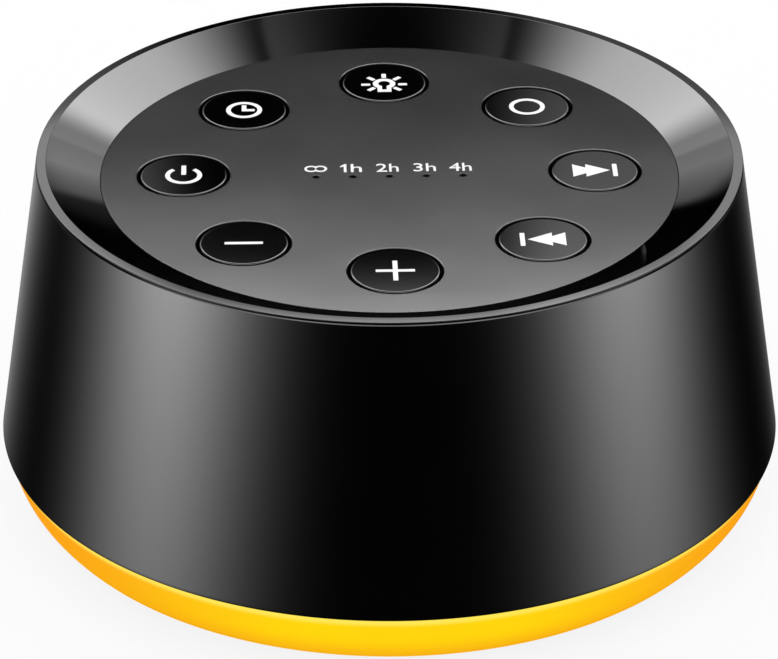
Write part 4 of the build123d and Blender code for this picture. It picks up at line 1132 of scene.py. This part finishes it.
@dataclass
class Symbols:
    """The white print: each symbol is a list of shapes, and a shape is its outline and its holes.

    Args:
        stroke: width of the symbols' lines.
        size: outer radius of the round symbols.
        thickness: height of the print over its surface.
        sink: how far it goes into the surface.
    """

    stroke: float = 0.66
    size: float = 2.56
    thickness: float = 0.02
    sink: float = 0.01

    def timer(self) -> Shapes:
        """A clock face with two hands.

        Returns:
            The symbol's shapes.
        """
        half, reach, back = 0.335, 1.5, 0.4
        up = 2 * half - back
        hands = [(-half, -back), (reach, -back), (reach, up), (half, up), (half, reach), (-half, reach)]
        return [ring(self.size, self.stroke), [np.array(hands)]]

    def power(self) -> Shapes:
        """An open ring with a bar in its gap.

        Returns:
            The symbol's shapes.
        """
        gap_low, gap_high = 129.0, 411.0
        inner = self.size - self.stroke
        band = np.concatenate([arc(self.size, gap_low, gap_high), arc(inner, gap_high, gap_low)])
        return [[band], bar(self.stroke / 2, 1.39, 0, 1.58)]

    def mode(self) -> Shapes:
        """A plain ring."""
        return [ring(self.size, self.stroke)]

    def volume_up(self) -> Shapes:
        """A plus.

        Returns:
            The symbol's shapes.
        """
        t, w, h = self.stroke / 2, 2.6, 2.75
        half = [(t, t), (t, h), (-t, h), (-t, t), (-w, t), (-w, -t)]
        return [[np.array(half + [(-x, -y) for x, y in half])]]

    def volume_down(self) -> Shapes:
        """A minus."""
        return [bar(2.58, self.stroke / 2)]

    def next(self, side: int = 1) -> Shapes:
        """Two triangles that share an edge, and a bar. A side of -1 mirrors them.

        Args:
            side: 1 points right and -1 left.

        Returns:
            The symbol's shapes.
        """
        left, second, width, half = -3.08, -1.25, 3.33, 1.85
        waist = half * (1 - (second - left) / width)
        shape = np.array([(left, -half), (second, -waist), (second, -half), (second + width, 0),
                          (second, half), (second, waist), (left, half)])
        return [[shape[::side] * (side, 1)], bar(self.stroke / 2, half, side * 2.78)]

    def previous(self) -> Shapes:
        """The mirror image of next."""
        return self.next(-1)

    def light(self) -> Shapes:
        """A lamp with five rays and two more beside its neck.

        Returns:
            The symbol's shapes.
        """
        y, long, short = -0.33, 0.645, 0.325
        shapes = [[]]
        for r, neck, foot in ((1.62, 1.0, -3.0), (0.85, 0.335, -2.25)):
            gap = np.degrees(np.arcsin(neck / r))
            base = [(-neck, foot), (neck, foot)]
            shapes[0].append(np.concatenate([arc(r, gap - 90, 270 - gap, 0, y), base]))
        shapes.append(bar(short, long, 0, 2.22))
        for side in (-1, 1):
            for ray_x, ray_y, turn in ((2.65, -0.6, 0), (1.87, 1.33, 45), (1.87, -2.08, -45)):
                shapes.append(bar(long, short, side * ray_x, ray_y, side * turn))
        return shapes

    def endless(self) -> Shapes:
        """Two rings side by side that touch: one outer outline and two holes.

        Returns:
            The symbol's shapes.
        """
        r, stroke, shift = 0.94, 0.34, 0.64
        gap = np.degrees(np.arccos(shift / r))
        right, left = arc(r, gap - 180, 180 - gap, shift), arc(r, gap, 360 - gap, -shift)
        outer = np.concatenate([right[:-1], left[:-1]])
        return [[outer, circle(r - stroke, shift, 0, 40), circle(r - stroke, -shift, 0, 40)]]

    def laid(self, shapes: Shapes, x: float, y: float, z: float) -> Surface:
        """A symbol as thin raised print on a flat surface."""
        return joined([prism(shape, z - self.sink, z + self.thickness).moved(x, y) for shape in shapes])


@dataclass
class KeyCap:
    """One round gloss key: a flat top with a rolled edge, a flange notched for its pin, and a stem.

    Args:
        key: which key.
        sizes: the keys' sizes.
        edge: rounding of its top.
        notch_gap: room round the guide pin in the flange's notch.
        wall, hollow_top: thickness of its wall and the height of its hollow.
        stem_r, stem_low: radius and foot of its stem.
    """

    key: Key
    sizes: KeySizes = field(default_factory=KeySizes)
    edge: float = 0.3
    notch_gap: float = 0.3
    wall: float = 1.2
    hollow_top: float = 47.6
    stem_r: float = 2.2
    stem_low: float = 45.7

    def notched(self, r: np.ndarray, angle: np.ndarray) -> np.ndarray:
        """Radius of the flange: near the pin it is cut back to the circle of the notch.

        Seen from the key's middle, a circle of radius c at distance d starts at
        d cos(a) - sqrt(c^2 - d^2 sin(a)^2).

        Args:
            r: radii of the section.
            angle: angles round the cap.

        Returns:
            The radii at those angles.
        """
        s = self.sizes
        clearance = s.pin_r + self.notch_gap
        turn = np.mod(angle - radians(self.key.value) + np.pi, 2 * np.pi) - np.pi
        inside = clearance ** 2 - (s.pin_offset * np.sin(turn)) ** 2
        start = s.pin_offset * np.cos(turn) - np.sqrt(np.maximum(inside, 0))
        near = (np.abs(turn) < 1) & (inside > 0)
        return np.where(near & (r > s.r + self.notch_gap), np.minimum(r, start), r)

    def surface(self) -> Surface:
        """The cap as one turned section from the stem's foot to the middle of its top.

        Returns:
            The cap about the Z axis.
        """
        s = self.sizes
        inner = s.r - self.wall
        corners = [
            (0, self.stem_low, 0), (self.stem_r, self.stem_low, 0.2), (self.stem_r, self.hollow_top, 0.1),
            (inner, self.hollow_top, 0.2), (inner, s.flange_low, 0.1), (s.flange_r, s.flange_low, 0.1),
            (s.flange_r, s.flange_top, 0.1), (s.r, s.flange_top, 0.1), (s.r, s.top, self.edge), (0, s.top, 0),
        ]
        return lathe(capped(corners, 7), 128, False, self.notched)

    def build(self, wardrobe: Wardrobe, symbols: Symbols) -> None:
        """Makes the key and its symbol on the key's own body.

        Args:
            wardrobe: makes the pieces in their finish.
            symbols: draws the print.
        """
        word = self.key.name.lower()
        x, y = polar(self.sizes.ring_r, self.key.value)
        wardrobe.piece(f"cap_{word}", self.surface().moved(x, y), "key_black", f"key_{word}", [f"key_{word}"])
        symbol = symbols.laid(getattr(symbols, word)(), x, y, self.sizes.top)
        wardrobe.piece(f"symbol_{word}", symbol, "print_white", f"key_{word}", sharp=True)


@dataclass
class TimerMarks:
    """The row of printed marks over the pinholes: an endless sign and four numbers of hours.

    Args:
        plate: the panel that they are printed on.
        words, word_xs: the last three marks and the middles of their widths.
        word_width, word_height: size of those marks.
        one_x, h_x, h_width: places of the first number's figure and letter, and the letter's width.
        foot_y, endless_y: the line that the numbers stand on, and the middle of the endless sign.
    """

    plate: ControlPlate = field(default_factory=ControlPlate)
    words: tuple[str, ...] = ("2h", "3h", "4h")
    word_xs: tuple[float, ...] = (-0.25, 4.92, 9.88)
    word_width: float = 3.1
    word_height: float = 2.42
    one_x: float = -6.12
    h_x: float = -4.57
    h_width: float = 1.52
    foot_y: float = 0.36
    endless_y: float = 1.47

    def one(self) -> Shapes:
        """The figure one: a bar with a slanted flag on its left.

        Returns:
            The figure's shape.
        """
        half, top, flag = 0.19, self.word_height, 0.68
        return [[np.array([(-half, 0), (half, 0), (half, top), (-half + 0.06, top), (-half - 0.1, top - 0.24),
                           (-flag, top - 0.58), (-flag, top - 0.96), (-half, top - 0.66)])]]

    def word(self, text: str, x: float, width: float) -> Surface:
        """A word in Blender's own letters, made a mesh and scaled to its real width and height.

        Args:
            text: its letters.
            x: the middle of its width.
            width: its width.

        Returns:
            The word, on the panel.
        """
        curve = bpy.data.curves.new(f"word_{text}", "FONT")
        curve.body = text
        curve.resolution_u = 6
        curve.offset = 0.004
        curve.extrude = 0.01
        holder = bpy.data.objects.new(f"word_{text}", curve)
        bpy.context.scene.collection.objects.link(holder)
        bpy.context.view_layer.update()
        mesh = bpy.data.meshes.new_from_object(holder)
        points = np.zeros(len(mesh.vertices) * 3)
        mesh.vertices.foreach_get("co", points)
        points = points.reshape(-1, 3)
        mesh.calc_loop_triangles()
        tris = np.zeros(len(mesh.loop_triangles) * 3, int)
        mesh.loop_triangles.foreach_get("vertices", tris)
        bpy.data.objects.remove(holder)
        bpy.data.curves.remove(curve)
        bpy.data.meshes.remove(mesh)
        low, high = points.min(axis=0), points.max(axis=0)
        size = np.array((width, self.word_height, 0.03))
        foot = np.array((x - width / 2, self.foot_y, self.plate.top - 0.01))
        points = (points - low) / (high - low) * size + foot
        return Surface(points, np.tile((0.0, 0.0, 1.0), (len(points), 1)), tris=tris.reshape(-1, 3))

    def build(self, wardrobe: Wardrobe, symbols: Symbols) -> None:
        """Makes the five marks.

        Args:
            wardrobe: makes the pieces in their finish.
            symbols: draws the print.
        """
        top = self.plate.top
        one = symbols.laid(self.one(), self.one_x, self.foot_y, top)
        marks = {"endless": symbols.laid(symbols.endless(), self.plate.pinholes[0], self.endless_y, top),
                 "1h": joined([one, self.word("h", self.h_x, self.h_width)])}
        for text, x in zip(self.words, self.word_xs):
            marks[text] = self.word(text, x, self.word_width)
        for text, surface in marks.items():
            wardrobe.piece(f"mark_{text}", surface, "print_white", sharp=True)


# ---- Base, light ring and speaker ----
@dataclass
class LightRing:
    """The lit ring: a bulging wall, a rolled lower corner, a foot on the base and a tongue in the shell.

    Args:
        top, top_r: upper end of the wall.
        bottom_r, foot, corner: radius and height of the lower edge, and its rounding.
        waist_r, waist_z: the point that the wall's curve is drawn towards.
        steps: segments in the wall.
        inside: the inner side's corners from the shell down, each as radius, height and rounding.
    """

    top: float = 10.6
    top_r: float = 54.35
    bottom_r: float = 50.8
    foot: float = 2.0
    corner: float = 0.9
    waist_r: float = 54.1
    waist_z: float = 5.83
    steps: int = 20
    inside: tuple[Corner, ...] = (
        (54.35, 10.6, 0), (52.3, 10.6, 0.1), (52.3, 12.0, 0.2), (51.0, 12.0, 0.2), (51.0, 9.2, 0.4),
        (49.4, 5.2, 0.4), (47.6, 5.2, 0.1), (47.6, 4.0, 0.1), (49.2, 4.0, 0.1), (49.2, 2.0, 0.1),
        (49.9, 2.0, 0),
    )

    def profile(self) -> np.ndarray:
        """The section: a rounded corner, the wall as a curve of second degree that leaves the corner at 45
        degrees towards the waist and ends near upright, and the inner side.

        Returns:
            Rows of (radius, height).
        """
        corner = arc(self.corner, -90, -45, self.bottom_r - self.corner, self.foot + self.corner, 5)
        start = corner[-1]
        waist, end = np.array(((self.waist_r, self.waist_z), (self.top_r, self.top)))
        t = np.linspace(0, 1, self.steps + 1)[1:, None]
        wall = (1 - t) ** 2 * start + 2 * t * (1 - t) * waist + t ** 2 * end
        return np.concatenate([corner, wall, rounded(self.inside, 3, False)])

    def build(self, wardrobe: Wardrobe) -> None:
        """Makes the ring, whose glow doesn't tint the floor.

        Args:
            wardrobe: makes the piece in its finish.
        """
        surface = lathe(self.profile(), 384)
        obj = wardrobe.piece("glow_ring", surface, "amber_diffuser", nodes=["light_ring"])
        obj.visible_diffuse = False


@dataclass
class Feet:
    """Four rubber feet with a rolled lower edge and a shallow dished sole.

    Args:
        ring_r: radius of the ring of feet.
        r, top, edge: radius, height and rounding of a foot.
        dish_r, dish: radius and depth of its sole.
    """

    ring_r: float = 41.5
    r: float = 5.0
    top: float = 2.8
    edge: float = 0.6
    dish_r: float = 3.4
    dish: float = 0.25

    def build(self, wardrobe: Wardrobe) -> None:
        """Makes the feet as one piece.

        Args:
            wardrobe: makes the piece in its finish.
        """
        corners = [(0, self.dish, 0), (self.dish_r, self.dish, 0.2), (self.dish_r + 0.3, 0, 0.15),
                   (self.r, 0, self.edge), (self.r, self.top, 0.1), (0, self.top, 0)]
        foot = lathe(capped(corners, 5), 64, False)
        feet = joined(ring_of(foot, self.ring_r, (0, 90, 180, 270)))
        wardrobe.piece("feet", feet, "foot_rubber", nodes=["rubber_feet"])


@dataclass
class GrilleCloth:
    """The dust cloth stretched over the sound holes.

    Args:
        r, low, thickness: radius, lower side and thickness.
        sag: how far it sinks between the rings of holes.
        pitch: distance between those rings.
    """

    r: float = 24.5
    low: float = 4.02
    thickness: float = 0.26
    sag: float = 0.03
    pitch: float = 4.4

    def build(self, wardrobe: Wardrobe) -> None:
        """Makes the cloth as a thin round sheet whose two sides draw together in rings of cosine waves.

        Args:
            wardrobe: makes the piece in its finish.
        """
        r = np.linspace(0, self.r, 40)
        sag = self.sag * (1 + np.cos(r * 2 * np.pi / self.pitch)) * 0.5
        low = np.column_stack([r, self.low + sag])
        high = np.column_stack([r, self.low + self.thickness - sag])[::-1]
        surface = lathe(np.concatenate([low, high]), 96, False)
        obj = wardrobe.piece("dust_cloth", surface, "black_cloth", nodes=["grille_cloth"])


@dataclass
class SpeakerFlex:
    """The soft parts that bend as the cone moves: the surround, the spider and the two leads.

    Args:
        lip_top: height of the surround's outer lip.
        rise: height of the cone's lip over it.
        thin: thickness of the surround.
        roll_in, roll_out, lip_out, cone_in: radii of its half roll and of its outer and inner ends.
        collar_r, collar_z, collar_land: where the spider meets the coil, and the flat before its waves.
        rim_r, ledge_r, ledge_z: end of its waves, its outer radius and the ledge that it is glued to.
        wave, cloth: height of its waves and its thickness.
        lead_start, lead_run, lead_z: the leads' outer end, their length along X and their height there.
        lead_hump, lead_fall: how high they arch over their start, and how far they fall to their end.
        lead_aside, lead_r: how far each is from the middle, and its radius.
    """

    lip_top: float = 7.5
    rise: float = 2.5
    thin: float = 0.4
    roll_in: float = 20.7
    roll_out: float = 24.1
    lip_out: float = 25.9
    cone_in: float = 19.5
    collar_r: float = 6.9
    collar_z: float = 15.5
    collar_land: float = 0.6
    rim_r: float = 14.5
    ledge_r: float = 16.4
    ledge_z: float = 17.6
    wave: float = 0.35
    cloth: float = 0.28
    lead_start: float = -26.8
    lead_run: float = 14.2
    lead_z: float = 12.0
    lead_hump: float = 2.2
    lead_fall: float = 0.85
    lead_aside: float = 1.5
    lead_r: float = 0.2

    def surround(self) -> Surface:
        """Outer lip, half roll and the wall up to the cone's lip. The roll is two half circles.

        Returns:
            The surround.
        """
        middle = (self.roll_in + self.roll_out) / 2
        outer_r = (self.roll_out - self.roll_in) / 2
        inner_r = outer_r - self.thin
        low, cone_lip = self.lip_top - self.thin, self.lip_top + self.rise
        below, above = arc(outer_r, 180, 360, middle, low, 20), arc(inner_r, 360, 180, middle, low, 20)
        outer_lip = [(self.lip_out, low), (self.lip_out, self.lip_top), (middle + inner_r, self.lip_top)]
        rise, fall = np.linspace(low, cone_lip, 7)[1:], np.linspace(cone_lip - self.thin, low, 7)[:-1]
        wall_in = np.column_stack([np.full(6, middle - inner_r), rise])
        wall_out = np.column_stack([np.full(6, middle - outer_r), fall])
        cone_end = [(self.cone_in, cone_lip), (self.cone_in, cone_lip - self.thin)]
        return lathe(np.concatenate([below, outer_lip, above, wall_in, cone_end, wall_out]), 128)

    def spider(self) -> Surface:
        """A disc that climbs to the basket's ledge in three sine waves, which fade at both ends.

        Returns:
            The spider.
        """
        r = np.linspace(self.collar_r + self.collar_land, self.rim_r, 60)
        share = (r - r[0]) / (r[-1] - r[0])
        end_z = self.ledge_z - 0.02
        waves = self.wave * np.sin(share * 6 * np.pi) * np.sin(share * np.pi) ** 0.5
        z = self.collar_z + (end_z - self.collar_z) * share - waves
        ends = ([(self.collar_r, self.collar_z)], [(self.ledge_r, end_z)])
        upper = np.concatenate([ends[0], np.column_stack([r, z]), ends[1]])
        return lathe(np.concatenate([upper - (0, self.cloth), upper[::-1]]), 96)

    def leads(self) -> Surface:
        """Two thin braids from the tags to the cone, as tubes along a smooth S.

        Returns:
            Both leads.
        """
        count, around = 40, np.arange(10) * 2 * np.pi / 10
        t = np.linspace(0, 1, count)
        x = self.lead_start + self.lead_run * t
        hump = np.sin(np.pi * np.clip(t * 0.62, 0, 1)) ** 1.5
        z = self.lead_z + self.lead_hump * hump - self.lead_fall * t ** 3
        middle = np.column_stack([x, np.full(count, 0.0), z])
        along = np.gradient(middle, axis=0)
        along /= np.linalg.norm(along, axis=1, keepdims=True)
        side = np.array((0.0, 1.0, 0.0))
        up = np.cross(along, side)[:, None]
        spokes = np.cos(around)[None, :, None] * side + np.sin(around)[None, :, None] * up
        ends = np.repeat(middle[[0, -1]][:, None], 10, axis=1)
        rings = np.concatenate([ends[:1], middle[:, None] + self.lead_r * spokes, ends[1:]])
        braid = grid(rings[:, ::-1])
        return joined([braid.moved(0, -self.lead_aside), braid.moved(0, self.lead_aside)])

    def build(self, wardrobe: Wardrobe) -> None:
        """Makes the three pieces on no body, and works out the two ends that each runs between.

        Args:
            wardrobe: makes the pieces in their finish.
        """
        lead_end = self.lead_start + self.lead_run
        parts = (
            ("flex_surround", self.surround(), "surround_rubber", "speaker_surround",
             (0, 0, self.lip_top), (0, 0, self.lip_top + self.rise - self.thin)),
            ("flex_spider", self.spider(), "spider_cloth", "speaker_spider",
             (0, 0, self.ledge_z - 0.3), (0, 0, self.collar_z)),
            ("flex_leads", self.leads(), "copper_wire", "tinsel_leads",
             (self.lead_start, 0, 0), (lead_end, 0, 0)),
        )
        for name, surface, slot, node, *ends in parts:
            obj = wardrobe.piece(name, surface, slot, None, [node])
            start, end = (tuple(c * MM for c in point) for point in ends)
            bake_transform(obj)
            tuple(start)
            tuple(end)


# ---- Studio ----
@dataclass
class Strip:
    """A soft light on the studio dome: a bell in azimuth that sets in and fades out with height.

    Args:
        azimuth: its middle, in degrees from the back (+Y) towards +X.
        width: the bell falls to a third this far from the middle.
        level: its brightness.
    """

    azimuth: float
    width: float
    level: float

    def nodes(self, graph: Graph, azimuth: Socket) -> Socket:
        """level * exp(-(turn / width)^2), with turn the angle from the middle.

        Args:
            graph: the graph that gets the nodes.
            azimuth: the azimuth in degrees.

        Returns:
            The light there.
        """
        away = graph.math("SUBTRACT", azimuth, self.azimuth)
        turn = graph.node("ShaderNodeMath", {0: away, 1: 180.0, 2: -180.0}, operation="WRAP")[0]
        share = graph.math("DIVIDE", turn, self.width)
        bell = graph.math("EXPONENT", graph.math("MULTIPLY", share, share, -1.0))
        return graph.math("MULTIPLY", bell, self.level)


@dataclass
class Wing:
    """A dimmer light at one side under the softbox, brighter upwards.

    Args:
        side: 1 on the right and -1 on the left.
        start, spread: how far aside it sets in, and over what width.
        base_z: the height of its own level.
        rise: it grows 2.7 times over this height.
        level: its brightness at base_z.
        most: the most that it reaches.
        lean: how much further out it starts per height gained over lean_from.
        low, fade: it sets in over the height of fade above low.
    """

    side: float
    start: float
    spread: float
    base_z: float
    rise: float
    level: float
    most: float
    lean: float = 0.0
    low: float = -100.0
    lean_from: float = 124.0
    fade: float = 24.0

    def nodes(self, graph: Graph, x: Socket, z: Socket) -> Socket:
        """min(level * exp((z - base_z) / rise), most) in height, times two smooth steps: one over the
        distance aside, and one over the height.

        Args:
            graph: the graph that gets the nodes.
            x, z: the place on the panel in metres.

        Returns:
            The light there.
        """
        above = graph.math("DIVIDE", graph.math("SUBTRACT", z, self.base_z * MM), self.rise * MM)
        grown = graph.math("MULTIPLY", graph.math("EXPONENT", above), self.level)
        shift = graph.math("MULTIPLY", graph.math("SUBTRACT", z, self.lean_from * MM), self.lean)
        aside = graph.math("SUBTRACT", graph.math("MULTIPLY", x, self.side), shift)
        out = graph.ramp(aside, self.start * MM, (self.start + self.spread) * MM)
        up = graph.ramp(z, self.low * MM, (self.low + self.fade) * MM)
        return graph.math("MULTIPLY", graph.math("MINIMUM", grown, self.most), out, up)


@dataclass
class Studio:
    """Pale floor, plain even light, and lamps that only first reflections see.

    The gloss black mouldings show a dark room with two low strips at the sides and one large softbox
    behind, whose lower edge the satin plate shows as a soft gradient.

    Args:
        strips: the low lights at the sides and the faint one behind.
        strip_top, strip_fade: elevations where the strips are gone and where they begin to fade.
        strip_level, strip_drop: the elevation of the strips' own level, and how fast they grow above it.
        overheads: the high light in front that rounded edges catch.
        overhead_band: the elevations where it starts, is full, begins to fade and ends.
        fills: dim lights that shape the cover when it is seen from the sides and the back.
        fill_band: the elevations where they start, are full, begin to fade and end.
        dome_r: radius of the dark room.
        floor_half: half the floor's side.
        floor_lift: how much of the floor's white is its own, so that its shadow stays faint.
        plain_light: level of the even light.
        box_y: how far behind the object the softbox stands.
        box_half, box_soft: half its width and its soft border.
        box_low, box_full: heights over which its light sets in.
        box_high, box_end: heights over which it fades out.
        box_level: its brightness.
        wing_gap: how far before the softbox the wings stand.
        wings: the light beside the dark middle under the softbox, which the satin plate doesn't show.
    """

    strips: tuple[Strip, ...] = (Strip(-107.0, 24.0, 5.2), Strip(103.5, 23.5, 4.2), Strip(-6.0, 24.0, 2.0))
    strip_top: float = -4.0
    strip_fade: float = -9.0
    strip_level: float = -15.0
    strip_drop: float = 0.15
    overheads: tuple[Strip, ...] = (Strip(180.0, 110.0, 5.2),)
    overhead_band: tuple[float, ...] = (40.0, 50.0, 64.0, 74.0)
    fills: tuple[Strip, ...] = (Strip(150.0, 32.0, 1.3), Strip(-150.0, 32.0, 1.3), Strip(64.0, 13.0, 1.0),
                                Strip(-64.0, 13.0, 1.0))
    fill_band: tuple[float, ...] = (-5.0, 3.0, 14.0, 34.0)
    dome_r: float = 2500.0
    floor_half: float = 6000.0
    floor_lift: float = 0.85
    plain_light: float = 1.0
    box_y: float = 400.0
    box_half: float = 330.0
    box_soft: float = 70.0
    box_low: float = 276.0
    box_full: float = 352.0
    box_high: float = 560.0
    box_end: float = 980.0
    box_level: float = 7.4
    wing_gap: float = 1.0
    wings: tuple[Wing, ...] = (
        Wing(1, 38, 22, 150, 50, 0.6, 1.6, lean=0.4, low=124),
        Wing(1, 30, 26, 235, 52, 0.5, 2.6),
        Wing(1, 62, 30, 244, 8, 0.8, 2.0),
        Wing(-1, 28, 12, 155, 60, 0.6, 1.45, lean=0.3, low=118),
        Wing(-1, 33, 36, 245, 35, 0.8, 2.6),
        Wing(-1, 45, 24, 240, 8, 0.8, 2.1),
    )

    def floor(self) -> None:
        """A pale floor that catches a faint shadow and that gloss doesn't mirror."""
        h = self.floor_half
        obj = make_object("floor", rectangle((-h, -h), (h, h), (0.0, 0.0, 1.0), lambda x, y: (x, y, 0)))
        made, graph = new_material("pale_floor")
        color = graph.mix(graph.noise(graph.place(), 3.0), (0.985, 0.985, 0.985, 1.0), WHITE)
        matt = graph.node("ShaderNodeBsdfDiffuse", {"Color": color})["BSDF"]
        white = graph.node("ShaderNodeEmission", {"Color": WHITE, "Strength": 1.0})["Emission"]
        share = graph.math("MULTIPLY", graph.node("ShaderNodeLightPath")["Is Camera Ray"], self.floor_lift)
        mixed = graph.node("ShaderNodeMixShader", {0: share, 1: matt, 2: white})
        graph.node("ShaderNodeOutputMaterial", {"Surface": mixed["Shader"]})
        obj.data.materials.append(made)
        obj.visible_glossy = False

    def world(self) -> None:
        """Even light for matt surfaces, and white where the camera, gloss or glass sees past everything."""
        world = bpy.data.worlds.new("studio")
        bpy.context.scene.world = world
        world.use_nodes = True
        graph = Graph(world.node_tree)
        path = graph.node("ShaderNodeLightPath")
        rays = (path[f"Is {kind} Ray"] for kind in ("Camera", "Glossy", "Transmission"))
        seen = {"Value": graph.math("MAXIMUM", *rays), "To Min": self.plain_light, "To Max": 1.0}
        strength = graph.node("ShaderNodeMapRange", seen)
        back = graph.node("ShaderNodeBackground", {"Color": WHITE, "Strength": strength["Result"]})
        graph.node("ShaderNodeOutputWorld", {"Surface": back["Background"]})

    def lamp(self, name: str, surface: Surface, level: Callable, clear: bool = False) -> bpy.types.Object:
        """A surface that shines for first reflections alone.

        Args:
            name: its name.
            surface: its shape.
            level: fills a graph and returns the brightness at the place it is given.
            clear: what stands behind it shows through.

        Returns:
            The lamp.
        """
        obj = make_object(name, surface)
        made, graph = new_material(name)
        first = graph.math("LESS_THAN", graph.node("ShaderNodeLightPath")["Ray Depth"], 1.5)
        strength = graph.math("MULTIPLY", level(graph, graph.place()), first)
        light = graph.node("ShaderNodeEmission", {"Color": WHITE, "Strength": strength})["Emission"]
        if clear:
            through = graph.node("ShaderNodeBsdfTransparent")["BSDF"]
            light = graph.node("ShaderNodeAddShader", {0: light, 1: through})["Shader"]
        graph.node("ShaderNodeOutputMaterial", {"Surface": light})
        obj.data.materials.append(made)
        obj.visible_camera = False
        obj.visible_diffuse = False
        obj.visible_transmission = False
        obj.visible_shadow = False
        return obj

    def room_level(self, graph: Graph, place: Socket) -> Socket:
        """The strips, by the direction of a point seen from the middle of the dome.

        Args:
            graph: the graph that gets the nodes.
            place: the place on the dome.

        Returns:
            The brightness there.
        """
        axes = graph.axes(graph.node("ShaderNodeVectorMath", {0: place}, operation="NORMALIZE")["Vector"])
        azimuth = graph.math("DEGREES", graph.math("ARCTAN2", axes["X"], axes["Y"]))
        elevation = graph.math("DEGREES", graph.math("ARCSINE", axes["Z"]))
        grown = graph.math("MULTIPLY", graph.math("SUBTRACT", elevation, self.strip_level), self.strip_drop)
        low = graph.math("MULTIPLY", graph.math("EXPONENT", grown),
                         graph.ramp(elevation, self.strip_top, self.strip_fade))
        sums = [(self.strips, low)]
        for strips, band in ((self.overheads, self.overhead_band), (self.fills, self.fill_band)):
            start, full, fade, end = band
            up, down = graph.ramp(elevation, start, full), graph.ramp(elevation, end, fade)
            sums.append((strips, graph.math("MULTIPLY", up, down)))
        groups = []
        for strips, band in sums:
            total = [strip.nodes(graph, azimuth) for strip in strips]
            total = graph.math("ADD", *total) if len(total) > 1 else total[0]
            groups.append(graph.math("MULTIPLY", total, band))
        return graph.math("ADD", *groups)

    def border(self, graph: Graph, axes: Sequence[Socket]) -> Socket:
        """The soft upper and side borders of the panels behind the object.

        Args:
            graph: the graph that gets the nodes.
            axes: the place on the panel.

        Returns:
            1 inside, falling to 0 at the borders.
        """
        aside = graph.math("ABSOLUTE", axes["X"])
        return graph.math("MULTIPLY", graph.ramp(axes["Z"], self.box_end * MM, self.box_high * MM),
                          graph.ramp(aside, self.box_half * MM, (self.box_half - self.box_soft) * MM))

    def box_level_at(self, graph: Graph, place: Socket) -> Socket:
        """The softbox, over its lower edge.

        Args:
            graph: the graph that gets the nodes.
            place: the place on the panel.

        Returns:
            The brightness there.
        """
        axes = graph.axes(place)
        box = graph.ramp(axes["Z"], self.box_low * MM, self.box_full * MM, 0.0, self.box_level)
        return graph.math("MULTIPLY", box, self.border(graph, axes))

    def wing_level_at(self, graph: Graph, place: Socket) -> Socket:
        """The brightest of the wings, giving way to the softbox upwards.

        Args:
            graph: the graph that gets the nodes.
            place: the place on the panel.

        Returns:
            The brightness there.
        """
        axes = graph.axes(place)
        brightest = graph.math("MAXIMUM", *(wing.nodes(graph, axes["X"], axes["Z"]) for wing in self.wings))
        under = graph.ramp(axes["Z"], self.box_full * MM, self.box_low * MM)
        return graph.math("MULTIPLY", brightest, under, self.border(graph, axes))

    def panel(self, y: float) -> Surface:
        """An upright panel behind the object, facing it."""
        w, top = self.box_half, self.box_end
        return rectangle((-w, 0), (w, top), (0.0, -1.0, 0.0), lambda x, z: (x, y, z))

    def lamps(self, plate: bpy.types.Object) -> None:
        """The dark room with its strips, the softbox behind the object, and the wings before it.

        Args:
            plate: the satin plate, which doesn't show the wings.
        """
        profile = arc(self.dome_r, -90, 90, steps=48)
        profile[[0, -1], 0] = 0
        self.lamp("studio_room", lathe(profile, 96, False).flipped(), self.room_level)
        self.lamp("studio_softbox", self.panel(self.box_y), self.box_level_at)
        wings = self.lamp("studio_wings", self.panel(self.box_y - self.wing_gap), self.wing_level_at, True)
        left_out = bpy.data.collections.new("without_wings")
        left_out.objects.link(plate)
        left_out.collection_objects[0].light_linking.link_state = "EXCLUDE"
        wings.light_linking.receiver_collection = left_out

    def build(self, plate: bpy.types.Object) -> None:
        """Makes the floor, the world and the lamps.

        Args:
            plate: the satin plate, which doesn't show the wings.
        """
        self.floor()
        self.world()
        self.lamps(plate)
        bpy.context.scene.view_settings.view_transform = "Standard"


@dataclass
class View:
    """The camera: where it stands round the object and what it looks at.

    Args:
        azimuth, elevation: its direction in degrees, 0 azimuth being the front.
        distance: from the aim point.
        aim_x, aim_z: the aim point, over the middle of the base.
        lens: focal length.
        sensor: sensor width.
    """

    azimuth: float = -1.563
    elevation: float = 29.124
    distance: float = 630.7
    aim_x: float = -0.066
    aim_z: float = 24.161
    lens: float = 206.63
    sensor: float = 36.0

    def build(self) -> None:
        """Makes the camera and gives it to the scene."""
        a, e = radians(self.azimuth), radians(self.elevation)
        back = Vector((sin(a) * cos(e), -cos(a) * cos(e), sin(e)))
        data = bpy.data.cameras.new("camera")
        data.lens = self.lens
        data.sensor_width = self.sensor
        data.clip_end = 50.0
        camera = bpy.data.objects.new("camera", data)
        bpy.context.scene.collection.objects.link(camera)
        place = Vector((self.aim_x, 0, self.aim_z)) * MM + back * self.distance * MM
        camera.matrix_world = Matrix.Translation(place) @ back.to_track_quat("Z", "Y").to_matrix().to_4x4()
        bpy.context.scene.camera = camera


def main() -> None:
    """Builds the camera, every piece and the studio."""
    logging.basicConfig(level=logging.INFO, format="%(name)s %(message)s")
    View().build()
    wardrobe = Wardrobe()
    OuterShell().build(wardrobe)
    TopBezel().build(wardrobe)
    plate = ControlPlate().build(wardrobe)
    symbols = Symbols()
    for key in Key:
        KeyCap(key).build(wardrobe, symbols)
    TimerMarks().build(wardrobe, symbols)
    for part in (LightRing, Feet, GrilleCloth, SpeakerFlex):
        part().build(wardrobe)
    Studio().build(plate)


if __name__ == "__main__":
    main()
